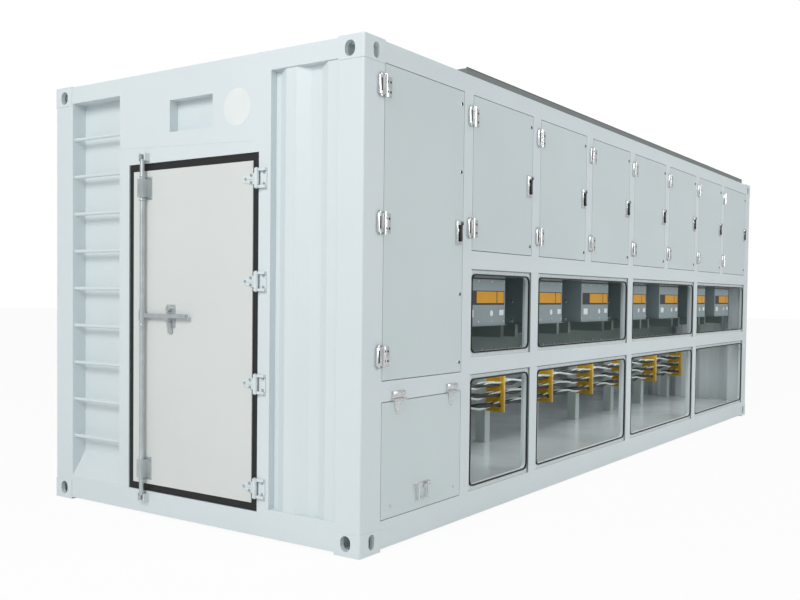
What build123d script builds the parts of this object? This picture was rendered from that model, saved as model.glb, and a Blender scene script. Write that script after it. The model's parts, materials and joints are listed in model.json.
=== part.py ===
"""Containerised generator load bank: steel container shell, resistor modules with their fans,
busbars on insulating boards, and hinged doors with their hinges and locks.

Units are millimetres. The model frame has +X along the container away from the personnel door,
+Y from the window side to the closed back, +Z up, and its origin on the ground at mid plan.
Places are written as (u, v, z): u from the door end, v from the window side, z from the ground.
"""
from build123d import *

import os
from math import cos, pi, sin

# ---------------------------------------------------------------- driving dimensions
LENGTH = 7315.0                  # over the corner castings
WIDTH = 2438.0
HEIGHT = 2591.0

# corner castings
CASTING_U, CASTING_V, CASTING_Z = 178.0, 162.0, 118.0
CASTING_WALL = 28.0
CASTING_INNER_WALL = 12.0
CASTING_ROUND = 10.0
SLOT_U, SLOT_V = 101.5, 89.0     # aperture centres from the end and from the side
SLOT_LENGTH, SLOT_WIDTH = 124.5, 63.5
SIDE_SLOT_Z = 66.0
SIDE_SLOT_HEIGHT, SIDE_SLOT_WIDTH = 79.5, 51.0

# frame members
INSET = 3.0                      # painted faces stand this far behind the castings
SILL_LIFT = 12.5                 # underside of the bottom frame
TOP_DROP = 6.0                   # top frame below the castings' tops
SIDE_DEPTH = 60.0
END_DEPTH = 100.0
CHANNEL_WALL = 6.0
SIDE_SILL_TOP = 157.0
SIDE_HEAD = 2480.0
END_SILL_TOP = 142.0
END_HEAD = 2484.0
FLOOR_THICKNESS = 6.0
ROOF_THICKNESS = 4.0
CROSS_MEMBERS = 9
CROSS_MEMBER_WIDTH = 60.0
CROSS_MEMBER_HEIGHT = 110.0

# corrugated sheets
SHEET = 3.0
WAVE_DEPTH = 36.0
WAVE_FLAT = 71.0
WAVE_SLOPE = 68.0
WAVE_INSET = 8.0

# door end
CORRUGATED_EDGE = 608.0          # v of the corrugated bay's inner edge
DOOR_JAMB_NEAR = 692.0
DOOR_JAMB_FAR = 1733.0
DOOR_HEAD = 2064.0
LADDER_NEAR, LADDER_FAR = 1820.0, 2268.0
LADDER_DEPTH = 95.0
LADDER_LIP = 150.0
LADDER_SLOPE_TOP = 300.0
RUNG_RADIUS = 11.0
RUNG_SETBACK = 25.0
RUNG_COUNT = 9
RUNG_FIRST, RUNG_PITCH = 403.0, 232.3
NICHE_NEAR, NICHE_FAR = 1040.0, 1384.0
NICHE_LOW, NICHE_HIGH = 2229.0, 2410.0
NICHE_DEPTH = 62.0
BAY_LIP = 165.0

# main door
LEAF_MARGIN_SIDE = 42.0
LEAF_MARGIN_END = 44.0
MAIN_LEAF_THICKNESS = 50.0
PLATE_THICKNESS = 5.0
SKIN = 2.5
LEAF_RIBS = 4
RIB_THICKNESS = 5.0
SEAL_CLEAR = 3.0
SEAL_THICKNESS = 30.0
SEAL_SETBACK = 6.0
MAIN_HINGE_V = 690.0
MAIN_HINGE_PROUD = 20.0
MAIN_HINGE_Z = (272.0, 830.0, 1377.0, 1923.0)
MAIN_HINGE_HEIGHT = 104.0
MAIN_KNUCKLE_RADIUS = 13.0
MAIN_PIN_RADIUS = 7.0
PIN_HEAD = 4.0
MAIN_BLADE_REACH = 110.0
MAIN_BLADE_THICKNESS = 6.0
BRACKET_WIDTH = 46.0
LUG_HEIGHT = 14.0
RUNNING_CLEARANCE = 0.05
BARREL_SIDES = 12                # facets of small barrels and drums
FACE_CLEARANCE = 0.3
ROD_RADIUS = 14.0
ROD_V = 1582.0
ROD_PROUD = 30.0
ROD_LOW, ROD_HIGH = 108.0, 2098.0
GUIDE_Z = (279.0, 1918.0)
GUIDE_HEIGHT = 130.0
GUIDE_REACH = 52.0
CAM_HEIGHT = 26.0
CAM_LENGTH = 34.0
CAM_WIDTH = 22.0
KEEPER_GAP = 4.0
KEEPER_WALL = 8.0
KEEPER_BASE = 4.0
KEEPER_HEIGHT = 44.0
HANDLE_Z = 1178.0
HANDLE_LENGTH = 385.0
HANDLE_HEIGHT = 24.0
HANDLE_THICKNESS = 9.0
HANDLE_HUB_HEIGHT = 60.0
HUB_WALL = 5.0
CATCH_V = 1365.0
CATCH_WIDTH = 70.0
CATCH_HEIGHT = 130.0
SHELF_THICKNESS = 8.0
KNOB_RADIUS, KNOB_PROUD = 14.0, 26.0
HASP_DROP = 16.0
HASP_PIN_RADIUS = 5.0
HASP_THICKNESS = 10.0
HASP_WIDTH, HASP_LENGTH = 30.0, 62.0

# window side
PILLAR_NEAR, PILLAR_FAR = 968.0, 1071.0
TALL_DOOR_LOW = 872.0
HATCH_HIGH = 766.0
WINDOW_LOW_HEAD = 852.0
WINDOW_HIGH_SILL = 948.0
WINDOW_HIGH_HEAD = 1470.0
UPPER_DOOR_LOW = 1576.0
MODULE_PITCH = 868.0
MODULE_COUNT = 7
FIRST_BOUNDARY = 1903.0          # u between the first two modules
MULLION = 112.0
WINDOW_MULLION = 104.0
WINDOW_BOUNDARIES = (0, 2, 4)    # boundaries that carry a window mullion
DOOR_GAP = 4.0
SIDE_LEAF_THICKNESS = 28.0

# side hinges and locks
HINGE_PROUD = 12.0
HINGE_RADIUS = 9.0
HINGE_PLATE = 5.0
HINGE_LEAF_WIDTH = 46.0
HINGE_FIXED_HEIGHT = 116.0
HINGE_MOVING_HEIGHT = 88.0
HINGE_KNUCKLE = 58.0
TALL_HINGE_Z = (1000.0, 1675.0, 2362.0)
UPPER_HINGE_Z = (1707.0, 2352.0)
HATCH_HINGE_U = (325.0, 860.0)
LOCK_WIDTH, LOCK_HEIGHT, LOCK_BASE = 66.0, 137.0, 10.0
LOCK_INSET = 52.0                # lock centre from the leaf's free edge
UPPER_LOCK_Z = 2022.0
TALL_LOCK_Z = 1672.0
LEVER_WIDTH, LEVER_LENGTH, LEVER_THICKNESS = 26.0, 104.0, 14.0
BAIL_U, BAIL_Z = 560.0, 292.0
BAIL_WIDTH, BAIL_DROP, BAIL_RADIUS = 118.0, 74.0, 6.0
BAIL_PROUD = 16.0
EAR_WIDTH = 14.0

# windows
WINDOW_SETBACK = 12.0
WINDOW_SHEET = 3.0
WINDOW_MARGIN_SIDE = 24.0
WINDOW_MARGIN_END = 36.0
WINDOW_ROUND = 34.0
CORNER_STEPS = 3                 # facets in each rounded window corner
WINDOW_RETURN = 22.0
BEAD = 9.0

# inside
BULKHEAD_U = 1018.0
POST_SIZE = 80.0
POST_V = 824.0
BEAM_LOW, BEAM_HIGH = 870.0, 1040.0
BEARER_WIDTH = 40.0
CASING_LOW = 1128.0
CASING_HIGH = 2540.0
CASING_SETBACK = 200.0
CASING_LEFT, CASING_RIGHT = 108.0, 55.0
CASING_WALL = 3.0
BOX_FRONT = 97.0
BOX_RIGHT = 235.0
BOX_HIGH = 1445.0
BOX_FLANGE = 12.0
BOARD_FRONT = 665.0
BOARD_LOW, BOARD_HIGH = 415.0, 800.0
BOARD_THICKNESS = 8.0
BOARD_FLANGE = 44.0
BUSBAR_Z = (475.0, 555.0, 635.0)
BUSBAR_V = (700.0, 762.0)
BUSBAR_THICKNESS, BUSBAR_HEIGHT = 10.0, 50.0
FAN_RADIUS = 306.0
FAN_TIP_GAP = 8.0
FAN_HUB = 90.0
FAN_LOW, FAN_HEIGHT = 1170.0, 60.0
FAN_BLADES = 5
BLADE_PITCH = 28.0
BLADE_CHORD = 110.0
BLADE_THICKNESS = 5.0
BLADE_ROOT = 10.0                # how far a blade is let into the hub
DUCT_WALL = 6.0
DUCT_LOW, DUCT_HEIGHT = 1150.0, 100.0
DECK_THICKNESS = 4.0
SHAFT_RADIUS = 14.0
MOTOR_RADIUS, MOTOR_LOW, MOTOR_HEIGHT = 105.0, 1260.0, 170.0
MOTOR_BAR = 40.0
ELEMENT_LEVELS = (1560.0, 1860.0, 2160.0)
ELEMENT_COUNT = 5
ELEMENT_HEIGHT, ELEMENT_THICKNESS = 210.0, 6.0
CABINET_FRONT, CABINET_DEPTH = 80.0, 420.0
CABINET_LOW, CABINET_HIGH = 900.0, 2380.0
CABINET_MARGIN = 30.0
PLATE_STANDOFF = 20.0
BREAKER_ROWS, BREAKERS_IN_ROW = 3, 4
BREAKER_FIRST, BREAKER_ROW_PITCH, BREAKER_PITCH = 160.0, 430.0, 150.0
BREAKER_WIDTH, BREAKER_HEIGHT, BREAKER_DEPTH = 110.0, 210.0, 120.0
TERMINAL_BAR_WIDTH = 60.0
TERMINAL_BAR_COUNT = 5

# roof exhaust
COAMING_V = 50.0
COAMING_WALL = 6.0
COAMING_TOP = 2641.0
COAMING_TRIM = 6.0
LOUVRE_COUNT = 9
LOUVRE_CHORD, LOUVRE_THICKNESS, LOUVRE_TILT = 70.0, 3.0, 35.0

# ---------------------------------------------------------------- derived places
FACE_U = INSET                               # painted door-end face
FACE_V = INSET                               # painted window-side face
FLOOR_TOP = SIDE_SILL_TOP + FLOOR_THICKNESS
FRAME_TOP = HEIGHT - TOP_DROP
SIDE_IN = FACE_V + SIDE_DEPTH                # inner face of the side frame
END_IN = FACE_U + END_DEPTH
FAR_POST = LENGTH - CASTING_U                # near faces of the far corner posts
BACK_IN = WIDTH - WAVE_INSET - WAVE_DEPTH - SHEET
BOUNDARIES = [FIRST_BOUNDARY + MODULE_PITCH * i for i in range(MODULE_COUNT)]
MAIN_HINGE_U = FACE_U - MAIN_HINGE_PROUD
ROD_U = FACE_U - ROD_PROUD
LEAF_V = (DOOR_JAMB_NEAR + LEAF_MARGIN_SIDE, DOOR_JAMB_FAR - LEAF_MARGIN_SIDE)
LEAF_Z = (END_SILL_TOP + LEAF_MARGIN_END, DOOR_HEAD - LEAF_MARGIN_END)
SEAL_V = (DOOR_JAMB_NEAR + SEAL_CLEAR, DOOR_JAMB_FAR - SEAL_CLEAR)
SEAL_Z = (END_SILL_TOP + SEAL_CLEAR, DOOR_HEAD - SEAL_CLEAR)


def block(u, v, z):
    """A block between three pairs of limits: from the door end, the window side and the ground."""
    size = [abs(limit[1] - limit[0]) for limit in (u, v, z)]
    middle = [(limit[0] + limit[1]) / 2 for limit in (u, v, z)]
    return Pos(middle[0] - LENGTH / 2, middle[1] - WIDTH / 2, middle[2]) * Box(*size)


def at(u, v, z):
    """The location of a point given as (u, v, z)."""
    return Pos(u - LENGTH / 2, v - WIDTH / 2, z)


def drum(radius, height, sides=BARREL_SIDES):
    """An upright faceted drum about the origin."""
    return Pos(0, 0, -height / 2) * extrude(RegularPolygon(radius, sides), height)


def four_corners(solid):
    """The same solid at the four corners in plan."""
    across = mirror(solid, about=Plane.XZ)
    return [solid, across] + [mirror(s, about=Plane.YZ) for s in (solid, across)]


def prism_u(points, u):
    """A profile of (v, z) points run along the container between two u."""
    outline = Polyline(*[(v - WIDTH / 2, z) for v, z in points], close=True)
    return extrude(Plane.YZ.offset(u[0] - LENGTH / 2) * make_face(outline), u[1] - u[0])


def prism_v(points, v):
    """A profile of (u, z) points run across the container between two v."""
    outline = Polyline(*[(u - LENGTH / 2, z) for u, z in points], close=True)
    face = Plane((0, v[0] - WIDTH / 2, 0), x_dir=(1, 0, 0), z_dir=(0, -1, 0)) * make_face(outline)
    return extrude(face, -(v[1] - v[0]))


def prism_z(points, z):
    """A plan profile of (u, v) points raised between two heights."""
    outline = Polyline(*[(u - LENGTH / 2, v - WIDTH / 2) for u, v in points], close=True)
    return extrude(Plane.XY.offset(z[0]) * make_face(outline), z[1] - z[0])


def wave_points(start, end, front, depth, flat_first):
    """Trapezoid wave from start to end: pairs of (along, depth), front flats at front."""
    runs = [WAVE_FLAT, WAVE_SLOPE, WAVE_FLAT, WAVE_SLOPE]
    levels = [front, front + depth, front + depth, front]
    step = 0 if flat_first else 2
    points = [(start, levels[(step + 3) % 4])]
    place = start
    while place < end - 1e-6:
        run = min(runs[step % 4], end - place)
        share = run / runs[step % 4]
        before = levels[(step + 3) % 4]
        after = levels[step % 4]
        place += run
        points.append((place, before + (after - before) * share))
        step += 1
    return points


def wave_sheet(start, end, front, depth, z, along_u, flat_first=True):
    """A corrugated sheet of constant thickness, its waves running upwards."""
    face = wave_points(start, end, front, depth, flat_first)
    back = [(place, level + SHEET) for place, level in reversed(face)]
    ring = face + back
    points = ring if along_u else [(level, place) for place, level in ring]
    return prism_z(points, z)


# ---------------------------------------------------------------- container frame
def corner_castings():
    body = block((0, CASTING_U), (0, CASTING_V), (0, CASTING_Z))
    upright = body.edges().filter_by(Axis.Z).sort_by(lambda e: e.center().X + e.center().Y)[0]
    body = fillet(upright, CASTING_ROUND)
    body -= block((CASTING_WALL, CASTING_U - CASTING_INNER_WALL),
                  (CASTING_WALL, CASTING_V - CASTING_INNER_WALL),
                  (CASTING_WALL, CASTING_Z - CASTING_INNER_WALL))
    under = SlotOverall(SLOT_LENGTH, SLOT_WIDTH)
    body -= extrude(at(SLOT_U, SLOT_V, 0) * under, CASTING_WALL)
    side = Plane((SLOT_U - LENGTH / 2, -WIDTH / 2, SIDE_SLOT_Z), x_dir=(0, 0, 1), z_dir=(0, 1, 0))
    body -= extrude(side * SlotOverall(SIDE_SLOT_HEIGHT, SIDE_SLOT_WIDTH), CASTING_WALL)
    end = Plane((-LENGTH / 2, SLOT_V - WIDTH / 2, SIDE_SLOT_Z), x_dir=(0, 0, 1), z_dir=(1, 0, 0))
    body -= extrude(end * SlotOverall(SIDE_SLOT_HEIGHT, SLOT_WIDTH), CASTING_WALL)
    low = four_corners(body)
    high = [mirror(s, about=Plane.XY.offset(HEIGHT / 2)) for s in low]
    return low + high


def corner_posts():
    post = block((FACE_U, CASTING_U), (FACE_V, CASTING_V), (CASTING_Z, HEIGHT - CASTING_Z))
    upright = post.edges().filter_by(Axis.Z).sort_by(lambda e: e.center().X + e.center().Y)[0]
    return four_corners(fillet(upright, CASTING_ROUND))


def side_channel(z):
    """A rolled channel along the window side, open inwards."""
    low, high = z
    web = FACE_V + CHANNEL_WALL
    points = [(FACE_V, low), (SIDE_IN, low), (SIDE_IN, low + CHANNEL_WALL), (web, low + CHANNEL_WALL),
              (web, high - CHANNEL_WALL), (SIDE_IN, high - CHANNEL_WALL), (SIDE_IN, high), (FACE_V, high)]
    return prism_u(points, (CASTING_U, FAR_POST))


def bottom_frame():
    side = side_channel((SILL_LIFT, SIDE_SILL_TOP))
    end = block((FACE_U, END_IN), (CASTING_V, WIDTH - CASTING_V), (SILL_LIFT, END_SILL_TOP))
    members = [side, mirror(side, about=Plane.XZ), end, mirror(end, about=Plane.YZ)]
    spacing = (FAR_POST - CASTING_U) / (CROSS_MEMBERS + 1)
    top = SIDE_SILL_TOP
    for i in range(CROSS_MEMBERS):
        middle = CASTING_U + spacing * (i + 1)
        near, far = middle - CROSS_MEMBER_WIDTH / 2, middle + CROSS_MEMBER_WIDTH / 2
        low = top - CROSS_MEMBER_HEIGHT
        points = [(near, low), (far, low), (far, low + CHANNEL_WALL), (near + CHANNEL_WALL, low + CHANNEL_WALL),
                  (near + CHANNEL_WALL, top - CHANNEL_WALL), (far, top - CHANNEL_WALL), (far, top), (near, top)]
        members.append(prism_v(points, (SIDE_IN, WIDTH - SIDE_IN)))
    return members


def top_frame():
    side = side_channel((SIDE_HEAD, FRAME_TOP))
    end = block((FACE_U, END_IN), (CASTING_V, WIDTH - CASTING_V), (END_HEAD, FRAME_TOP))
    return [side, mirror(side, about=Plane.XZ), end, mirror(end, about=Plane.YZ)]


def floor_plate():
    main = block((CASTING_U, FAR_POST), (SIDE_IN, WIDTH - SIDE_IN), (SIDE_SILL_TOP, FLOOR_TOP))
    entry = block((END_IN, CASTING_U), (CASTING_V, WIDTH - CASTING_V), (SIDE_SILL_TOP, FLOOR_TOP))
    return [main, entry, mirror(entry, about=Plane.YZ)]


def roof_panel():
    roof = (FRAME_TOP - ROOF_THICKNESS, FRAME_TOP)
    near = block((CASTING_U, PILLAR_FAR), (SIDE_IN, WIDTH - SIDE_IN), roof)
    far = block((FAR_POST, LENGTH - END_IN), (CASTING_V, WIDTH - CASTING_V), roof)
    return [near, far, mirror(far, about=Plane.YZ)]


def back_wall():
    front = BACK_IN
    return [wave_sheet(CASTING_U, FAR_POST, front, WAVE_DEPTH, (SIDE_SILL_TOP, SIDE_HEAD), True)]


def far_end_wall():
    front = LENGTH - WAVE_INSET - WAVE_DEPTH - SHEET
    v = (CASTING_V, WIDTH - CASTING_V)
    return [wave_sheet(v[0], v[1], front, WAVE_DEPTH, (END_SILL_TOP, END_HEAD), False)]


# ---------------------------------------------------------------- door end
def door_end_frame():
    depth = (FACE_U, END_IN)
    height = (END_SILL_TOP, END_HEAD)
    near = block(depth, (CORRUGATED_EDGE, DOOR_JAMB_NEAR), height)
    far = block(depth, (DOOR_JAMB_FAR, LADDER_NEAR), height)
    span = (DOOR_JAMB_NEAR, DOOR_JAMB_FAR)
    under = block(depth, span, (DOOR_HEAD, NICHE_LOW))
    over = block(depth, span, (NICHE_HIGH, END_HEAD))
    beside = (NICHE_LOW, NICHE_HIGH)
    right = block(depth, (DOOR_JAMB_NEAR, NICHE_NEAR), beside)
    left = block(depth, (NICHE_FAR, DOOR_JAMB_FAR), beside)
    lip = block((FACE_U, FACE_U + WAVE_DEPTH + 2 * WAVE_INSET), (CASTING_V, CORRUGATED_EDGE),
                (END_SILL_TOP, BAY_LIP))
    return [near, far, under, over, right, left, lip]


def end_recesses():
    """The ladder recess's liner with its sloped foot, and the small niche's back."""
    back_u = FACE_U + LADDER_DEPTH
    back = block((back_u, END_IN), (LADDER_NEAR, WIDTH - CASTING_V), (END_SILL_TOP, END_HEAD))
    cheek = block((FACE_U, back_u), (LADDER_FAR, WIDTH - CASTING_V), (END_SILL_TOP, END_HEAD))
    foot = prism_v([(FACE_U, END_SILL_TOP), (back_u, END_SILL_TOP), (back_u, LADDER_SLOPE_TOP),
                    (FACE_U, LADDER_LIP)], (LADDER_NEAR, LADDER_FAR))
    niche_u = FACE_U + NICHE_DEPTH
    niche = block((niche_u, niche_u + SHEET), (NICHE_NEAR, NICHE_FAR), (NICHE_LOW, NICHE_HIGH))
    return [back, cheek, foot, niche]


def ladder_rungs():
    length = LADDER_FAR - LADDER_NEAR
    rung = Rot(90, 0, 0) * drum(RUNG_RADIUS, length, 16)
    middle = (LADDER_NEAR + LADDER_FAR) / 2
    return [at(FACE_U + RUNG_SETBACK, middle, RUNG_FIRST + RUNG_PITCH * i) * rung for i in range(RUNG_COUNT)]


def end_corrugated_panel():
    return [wave_sheet(CASTING_V, CORRUGATED_EDGE, FACE_U + WAVE_INSET, WAVE_DEPTH, (BAY_LIP, END_HEAD), False)]


# ---------------------------------------------------------------- main door
def tray(u, v, z, skin_face):
    """A folded sheet leaf: a block hollowed from its inner side. skin_face is 'u' or 'v'."""
    body = block(u, v, z)
    inner_z = (z[0] + SKIN, z[1] - SKIN)
    if skin_face == "u":
        return body - block((u[0] + SKIN, u[1]), (v[0] + SKIN, v[1] - SKIN), inner_z)
    return body - block((u[0] + SKIN, u[1] - SKIN), (v[0] + SKIN, v[1]), inner_z)


def main_door_leaf():
    """Folded sheet leaf with stiffening ribs across its inner side."""
    depth = (FACE_U, FACE_U + MAIN_LEAF_THICKNESS)
    leaf = tray(depth, LEAF_V, LEAF_Z, "u")
    spacing = (LEAF_Z[1] - LEAF_Z[0]) / (LEAF_RIBS + 1)
    for i in range(LEAF_RIBS):
        middle = LEAF_Z[0] + spacing * (i + 1)
        leaf += block((depth[0] + SKIN, depth[1]), (LEAF_V[0] + SKIN, LEAF_V[1] - SKIN),
                      (middle - RIB_THICKNESS / 2, middle + RIB_THICKNESS / 2))
    return [leaf]


def main_door_seal():
    depth = (FACE_U + SEAL_SETBACK, FACE_U + SEAL_SETBACK + SEAL_THICKNESS)
    left = block(depth, (LEAF_V[1], SEAL_V[1]), SEAL_Z)
    right = block(depth, (SEAL_V[0], LEAF_V[0]), SEAL_Z)
    top = block(depth, LEAF_V, (LEAF_Z[1], SEAL_Z[1]))
    bottom = block(depth, LEAF_V, (SEAL_Z[0], LEAF_Z[0]))
    return [left, right, top, bottom]


def knuckle_height():
    """Height of the moving knuckle between a bracket's two lugs."""
    return MAIN_HINGE_HEIGHT - 2 * LUG_HEIGHT - 2 * FACE_CLEARANCE


def main_hinge_blade(z):
    """Tapered strap on the leaf, its knuckle bored for the pin."""
    height = knuckle_height()
    reach = MAIN_HINGE_V + MAIN_BLADE_REACH
    face = FACE_U - MAIN_BLADE_THICKNESS
    root, tip = height / 2, height / 5
    outline = Polyline((MAIN_HINGE_V - WIDTH / 2, z - root), (reach - WIDTH / 2, z - tip),
                       (reach - WIDTH / 2, z + tip), (MAIN_HINGE_V - WIDTH / 2, z + root), close=True)
    strap = extrude(Plane.YZ.offset(face - LENGTH / 2) * make_face(outline), MAIN_BLADE_THICKNESS)
    knuckle = at(MAIN_HINGE_U, MAIN_HINGE_V, z) * Cylinder(MAIN_KNUCKLE_RADIUS, height)
    neck = block((MAIN_HINGE_U, FACE_U), (MAIN_HINGE_V, MAIN_HINGE_V + MAIN_BLADE_THICKNESS),
                 (z - root, z + root))
    bore = at(MAIN_HINGE_U, MAIN_HINGE_V, z) * Cylinder(MAIN_PIN_RADIUS + RUNNING_CLEARANCE, 2 * height)
    return strap + knuckle + neck - bore


def main_hinge_bracket(z):
    """Bracket on the jamb: back plate, two rounded lugs, and the pin with its two heads."""
    low, high = z - MAIN_HINGE_HEIGHT / 2, z + MAIN_HINGE_HEIGHT / 2
    plate_v = (MAIN_HINGE_V - MAIN_KNUCKLE_RADIUS - BRACKET_WIDTH, MAIN_HINGE_V - MAIN_KNUCKLE_RADIUS - 2)
    pieces = [block((FACE_U - MAIN_BLADE_THICKNESS, FACE_U), plate_v, (low, high))]
    behind = FACE_U - MAIN_BLADE_THICKNESS
    nose = [(MAIN_HINGE_U + MAIN_KNUCKLE_RADIUS * cos(a), MAIN_HINGE_V + MAIN_KNUCKLE_RADIUS * sin(a))
            for a in (pi * (1.5 - i / BARREL_SIDES) for i in range(BARREL_SIDES + 1))]
    foot = [(behind, nose[-1][1]), (behind, plate_v[0]), (MAIN_HINGE_U, plate_v[0])]
    for level in (low, high - LUG_HEIGHT):
        pieces.append(prism_z(nose + foot, (level, level + LUG_HEIGHT)))
    for middle, length in ((z, MAIN_HINGE_HEIGHT - 2 * LUG_HEIGHT), (low - PIN_HEAD / 2, PIN_HEAD),
                           (high + PIN_HEAD / 2, PIN_HEAD)):
        pieces.append(at(MAIN_HINGE_U, MAIN_HINGE_V, middle) * Cylinder(MAIN_PIN_RADIUS, length))
    return pieces


def keeper(z):
    """Base plate with two cheeks, open to the front, that hold a cam sideways."""
    half = CAM_LENGTH / 2 + KEEPER_GAP
    low, high = z - KEEPER_HEIGHT / 2, z + KEEPER_HEIGHT / 2
    face = FACE_U - KEEPER_BASE
    pieces = [block((face, FACE_U), (ROD_V - half - KEEPER_WALL, ROD_V + half + KEEPER_WALL), (low, high))]
    for side in (-1, 1):
        edge = sorted((ROD_V + side * half, ROD_V + side * (half + KEEPER_WALL)))
        pieces.append(block((ROD_U - KEEPER_WALL, face), edge, (low, high)))
    return pieces


def frame_hardware():
    """What the door end's frame carries: hinge brackets with pins, and the cams' keepers."""
    pieces = keeper(ROD_LOW) + keeper(ROD_HIGH)
    for z in MAIN_HINGE_Z:
        pieces += main_hinge_bracket(z)
    return pieces


def rod_guide(z):
    """Bearing on the leaf: a bolted plate with a block bored for the rod."""
    low, high = z - GUIDE_HEIGHT / 2, z + GUIDE_HEIGHT / 2
    plate = block((FACE_U - PLATE_THICKNESS, FACE_U), (ROD_V - GUIDE_REACH, ROD_V + GUIDE_REACH / 2 + 8), (low, high))
    cheek = ROD_RADIUS + 6
    housing = block((ROD_U - cheek, FACE_U - PLATE_THICKNESS), (ROD_V - cheek, ROD_V + cheek), (low + 12, high - 12))
    bore = at(ROD_U, ROD_V, z) * Cylinder(ROD_RADIUS + RUNNING_CLEARANCE, 2 * GUIDE_HEIGHT)
    return plate + housing - bore


def tag_pivot_z():
    """Height of the hanging hasp's pin, below the handle's cradle."""
    return HANDLE_Z - HANDLE_HEIGHT / 2 - FACE_CLEARANCE - SHELF_THICKNESS - HASP_DROP


def rod_guides():
    """The two bearings, and the catch plate with the handle's cradle, its knob and the hasp's pin."""
    face = FACE_U - PLATE_THICKNESS
    plate = block((face, FACE_U), (CATCH_V - CATCH_WIDTH / 2, CATCH_V + CATCH_WIDTH / 2),
                  (HANDLE_Z - CATCH_HEIGHT / 2, HANDLE_Z + CATCH_HEIGHT / 2))
    shelf_top = HANDLE_Z - HANDLE_HEIGHT / 2 - FACE_CLEARANCE
    shelf = block((ROD_U - 14, face), (CATCH_V - 18, CATCH_V + 18), (shelf_top - SHELF_THICKNESS, shelf_top))
    lying = Rot(0, 90, 0)
    knob = at(face - KNOB_PROUD / 2, CATCH_V, HANDLE_Z + 40) * (lying * Cylinder(KNOB_RADIUS, KNOB_PROUD))
    pin = at(face - HASP_THICKNESS, CATCH_V, tag_pivot_z()) * (
        lying * Cylinder(HASP_PIN_RADIUS, 2 * HASP_THICKNESS))
    return [rod_guide(z) for z in GUIDE_Z] + [plate + shelf + knob + pin]


def lock_rod():
    """Round rod in two lengths about the handle's hub, with a cam at each end."""
    hub = (HANDLE_Z - HANDLE_HUB_HEIGHT / 2, HANDLE_Z + HANDLE_HUB_HEIGHT / 2)
    pieces = [at(ROD_U, ROD_V, HANDLE_Z) * Cylinder(ROD_RADIUS + HUB_WALL, HANDLE_HUB_HEIGHT)]
    for low, high in ((ROD_LOW + CAM_HEIGHT / 2, hub[0]), (hub[1], ROD_HIGH - CAM_HEIGHT / 2)):
        pieces.append(at(ROD_U, ROD_V, (low + high) / 2) * Cylinder(ROD_RADIUS, high - low))
    for z in (ROD_LOW, ROD_HIGH):
        pieces.append(block((ROD_U - CAM_LENGTH / 2, ROD_U + CAM_LENGTH / 2),
                            (ROD_V - CAM_WIDTH / 2, ROD_V + CAM_WIDTH / 2),
                            (z - CAM_HEIGHT / 2, z + CAM_HEIGHT / 2)))
    return pieces


def lock_handle():
    """Flat bar that turns the rod, let into the hub."""
    reach = ROD_RADIUS + HUB_WALL
    u = (ROD_U - HANDLE_THICKNESS / 2, ROD_U + HANDLE_THICKNESS / 2)
    z = (HANDLE_Z - HANDLE_HEIGHT / 2, HANDLE_Z + HANDLE_HEIGHT / 2)
    bar = block(u, (ROD_V - HANDLE_LENGTH, ROD_V - reach + 3), z)
    return [bar - at(ROD_U, ROD_V, HANDLE_Z) * Cylinder(reach, HANDLE_HUB_HEIGHT)]


def handle_hasp():
    """Hasp hanging on its pin below the cradle."""
    pivot_z = tag_pivot_z()
    back = FACE_U - PLATE_THICKNESS - FACE_CLEARANCE
    u = (back - HASP_THICKNESS, back)
    place = at(back - HASP_THICKNESS / 2, CATCH_V, pivot_z) * Rot(0, 90, 0)
    half = HASP_PIN_RADIUS + 5
    neck = block(u, (CATCH_V - half, CATCH_V + half), (pivot_z - HASP_LENGTH / 2, pivot_z))
    body = block(u, (CATCH_V - HASP_WIDTH / 2, CATCH_V + HASP_WIDTH / 2),
                 (pivot_z - HASP_LENGTH, pivot_z - HASP_LENGTH / 2))
    eye = place * Cylinder(half, HASP_THICKNESS)
    return [body + neck + eye - place * Cylinder(HASP_PIN_RADIUS + RUNNING_CLEARANCE, 3 * HASP_THICKNESS)]


# ---------------------------------------------------------------- window side
def side_frame():
    v = (FACE_V, SIDE_IN)
    members = [block((PILLAR_NEAR, PILLAR_FAR), v, (SIDE_SILL_TOP, SIDE_HEAD)),
               block((CASTING_U, PILLAR_NEAR), v, (HATCH_HIGH, TALL_DOOR_LOW)),
               block((PILLAR_FAR, FAR_POST), v, (WINDOW_HIGH_HEAD, UPPER_DOOR_LOW)),
               block((PILLAR_FAR, FAR_POST), v, (WINDOW_LOW_HEAD, WINDOW_HIGH_SILL))]
    for boundary in BOUNDARIES[:-1]:
        u = (boundary - MULLION / 2, boundary + MULLION / 2)
        members.append(block(u, v, (UPPER_DOOR_LOW, SIDE_HEAD)))
    for index in WINDOW_BOUNDARIES:
        u = (BOUNDARIES[index] - WINDOW_MULLION / 2, BOUNDARIES[index] + WINDOW_MULLION / 2)
        members.append(block(u, v, (SIDE_SILL_TOP, WINDOW_LOW_HEAD)))
        members.append(block(u, v, (WINDOW_HIGH_SILL, WINDOW_HIGH_HEAD)))
    return members


def window_openings():
    """The eight openings in the side frame, as pairs of (u limits, z limits)."""
    edges = [PILLAR_FAR]
    for index in WINDOW_BOUNDARIES:
        edges += [BOUNDARIES[index] - WINDOW_MULLION / 2, BOUNDARIES[index] + WINDOW_MULLION / 2]
    edges.append(FAR_POST)
    rows = [(SIDE_SILL_TOP, WINDOW_LOW_HEAD), (WINDOW_HIGH_SILL, WINDOW_HIGH_HEAD)]
    return [((edges[i], edges[i + 1]), z) for z in rows for i in range(0, len(edges), 2)]


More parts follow.
